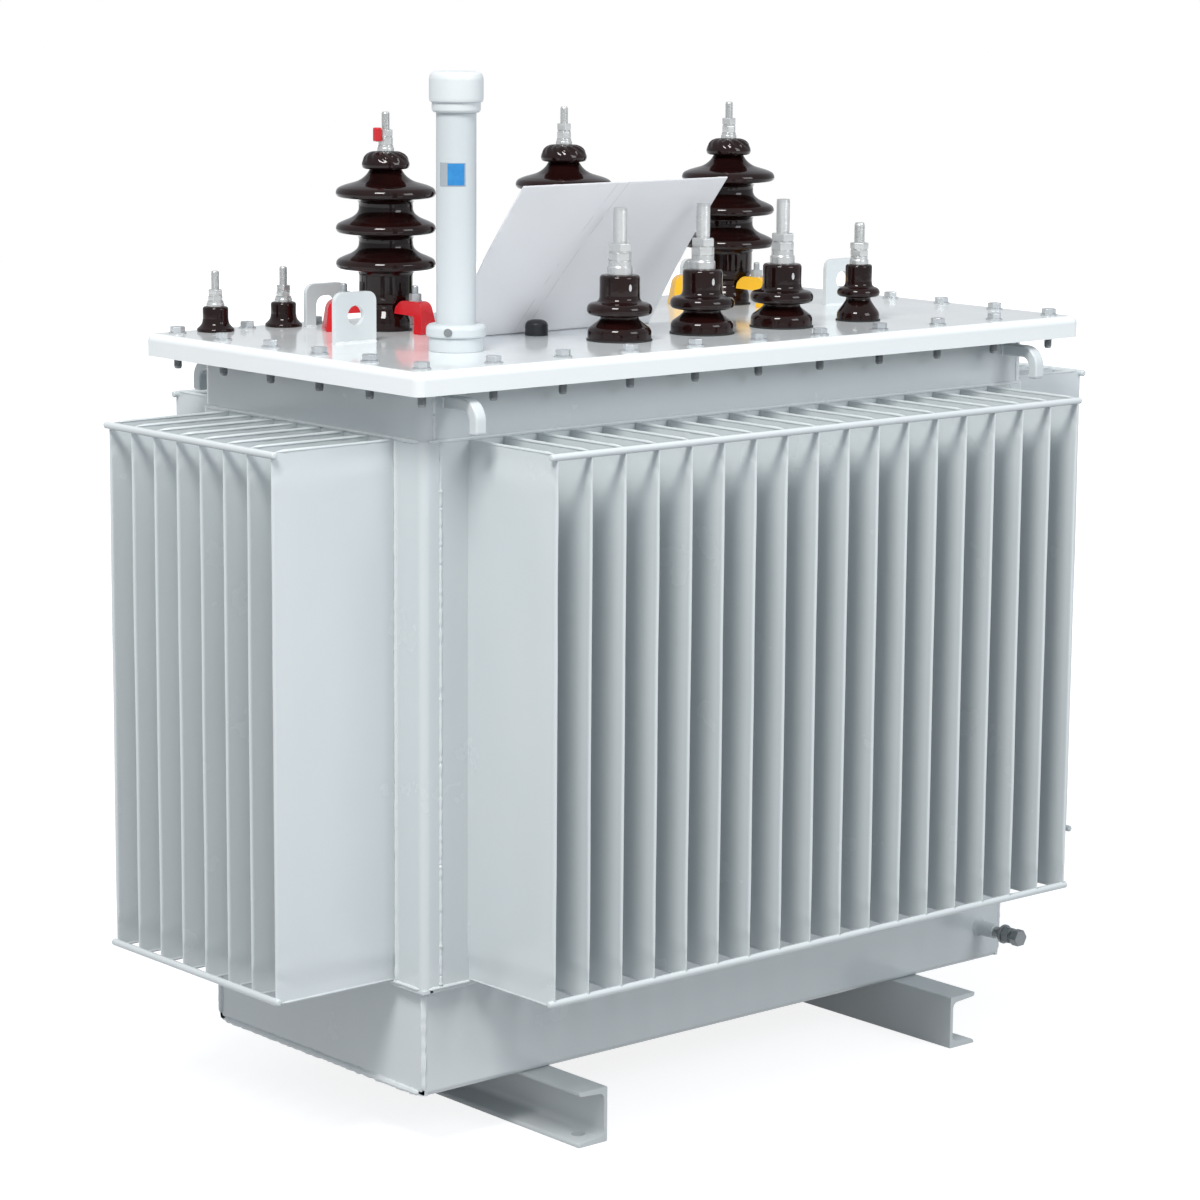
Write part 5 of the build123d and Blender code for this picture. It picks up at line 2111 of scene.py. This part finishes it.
@dataclass
class Studio:
    """Camera, pale floor and soft lamps."""

    camera_place: Point = (-3.5542, -4.0597, 1.6385)
    right: Point = (0.7578, -0.6524, 0.0075)
    up: Point = (0.1088, 0.1377, 0.9845)
    lens: float = 109.846
    sensor: float = 36.0
    world_level: float = 0.61
    floor_radius: float = 14.0
    sky_colour: tuple = field(default=rgba(246, 250, 255))
    floor_colour: tuple = field(default=rgba(150, 153, 156))
    # Distances in metres and levels between which the floor fades to white.
    floor_fade: tuple = (1.2, 4.0, 0.84, 1.1)

    def camera(self) -> None:
        """Place the camera at the photograph's viewpoint."""
        right, up = Vector(self.right).normalized(), Vector(self.up).normalized()
        back = right.cross(up).normalized()
        up = back.cross(right)
        data = bpy.data.cameras.new("camera")
        data.lens, data.sensor_width = self.lens, self.sensor
        data.clip_start, data.clip_end = 0.1, 100.0
        camera = put_in_scene("camera", data)
        turn = Matrix((right, up, back)).transposed().to_4x4()
        camera.matrix_world = Matrix.Translation(self.camera_place) @ turn
        bpy.context.scene.camera = camera

    def lamp(self, name: str, place: Point, aim: Point, size: float, power: float,
             tint: tuple) -> None:
        """A square soft lamp.

        Args:
            name: what it is called.
            place: where it hangs, in metres.
            aim: the point that it faces.
            size: length of its side.
            power: its strength in watts.
            tint: its colour.
        """
        data = bpy.data.lights.new(name, "AREA")
        data.shape, data.size, data.energy, data.color = "SQUARE", size, power, tint
        made = put_in_scene(name, data)
        turn = (Vector(place) - Vector(aim)).to_track_quat("Z", "Y").to_matrix().to_4x4()
        made.matrix_world = Matrix.Translation(place) @ turn

    def plain_view(self, board: Board, *more: str) -> bpy.types.NodeSocket:
        """Where a ray comes from the camera, through glass, or is of one more kind.

        Args:
            board: the material's or the world's board.
            more: outputs of the path node.

        Returns:
            1 for such a ray, else 0.
        """
        path = board.add("ShaderNodeLightPath").outputs
        seen = board.math("MAXIMUM", path["Is Camera Ray"], path["Is Transmission Ray"])
        for kind in more:
            seen = board.math("MAXIMUM", seen, path[kind])
        return seen

    def world(self) -> None:
        """A pale sky that the camera and glass see as white."""
        world = bpy.data.worlds.new("studio")
        bpy.context.scene.world = world
        world.use_nodes = True
        board = Board(world.node_tree)
        seen = self.plain_view(board)
        nodes = world.node_tree.nodes
        light = board.feed(nodes["Background"], Color=self.sky_colour,
                           Strength=self.world_level)
        white = board.feed(board.add("ShaderNodeBackground"), Color=PLAIN_WHITE, Strength=1.0)
        blend = board.add("ShaderNodeMixShader")
        for index, source in enumerate((seen, light.outputs[0], white.outputs[0])):
            board.set(blend.inputs[index], source)
        board.set(nodes["World Output"].inputs[0], blend.outputs[0])

    def floor(self) -> None:
        """A wide pale disc that keeps a faint shadow and fades to white."""
        bm = bmesh.new()
        bmesh.ops.create_circle(bm, cap_ends=True, segments=96, radius=self.floor_radius)
        mesh = take_mesh(bm, "floor")
        put_in_scene("floor", mesh)
        material = bpy.data.materials.new("pale floor")
        material.use_nodes = True
        mesh.materials.append(material)
        board = Board(material.node_tree)
        seen = self.plain_view(board, "Is Glossy Ray")
        shader = material.node_tree.nodes["Principled BSDF"]
        board.feed(shader, Base_Color=self.floor_colour, Roughness=0.9, Specular_IOR_Level=0.0,
                   Emission_Color=PLAIN_WHITE)
        away = board.add("ShaderNodeVectorMath", operation="LENGTH")
        board.set(away.inputs[0], board.place())
        level = board.ramp(away.outputs["Value"], *self.floor_fade)
        board.feed(shader, Emission_Strength=board.math("MULTIPLY", seen, level))

    def build(self) -> None:
        """Set up the studio."""
        scene = bpy.context.scene
        scene.view_settings.view_transform = "Standard"
        self.camera()
        self.world()
        self.floor()
        self.lamp("high left lamp", (-3.1, -1.8, 5.0), (-0.2, 0.0, 0.8), 1.6, 238.0,
                  (1.0, 0.985, 0.965))
        self.lamp("front lamp", (1.0, -3.9, 2.9), (0.0, 0.0, 0.9), 1.8, 60.0, (0.95, 0.98, 1.0))


def main() -> None:
    """Build the transformer and its studio."""
    logging.basicConfig(level=logging.INFO, format="%(message)s")
    assemblies = (Studio(), Skids(), Tray(), FinnedTank(), Neck(), Cover(), HighVoltage(),
                  LowVoltage(), SmallBushings(), OilGauge(), LeaningSheet(), EarthStud())
    for assembly in assemblies:
        LOG.info("building %s", type(assembly).__name__)
        assembly.build()


if __name__ == "__main__":
    main()
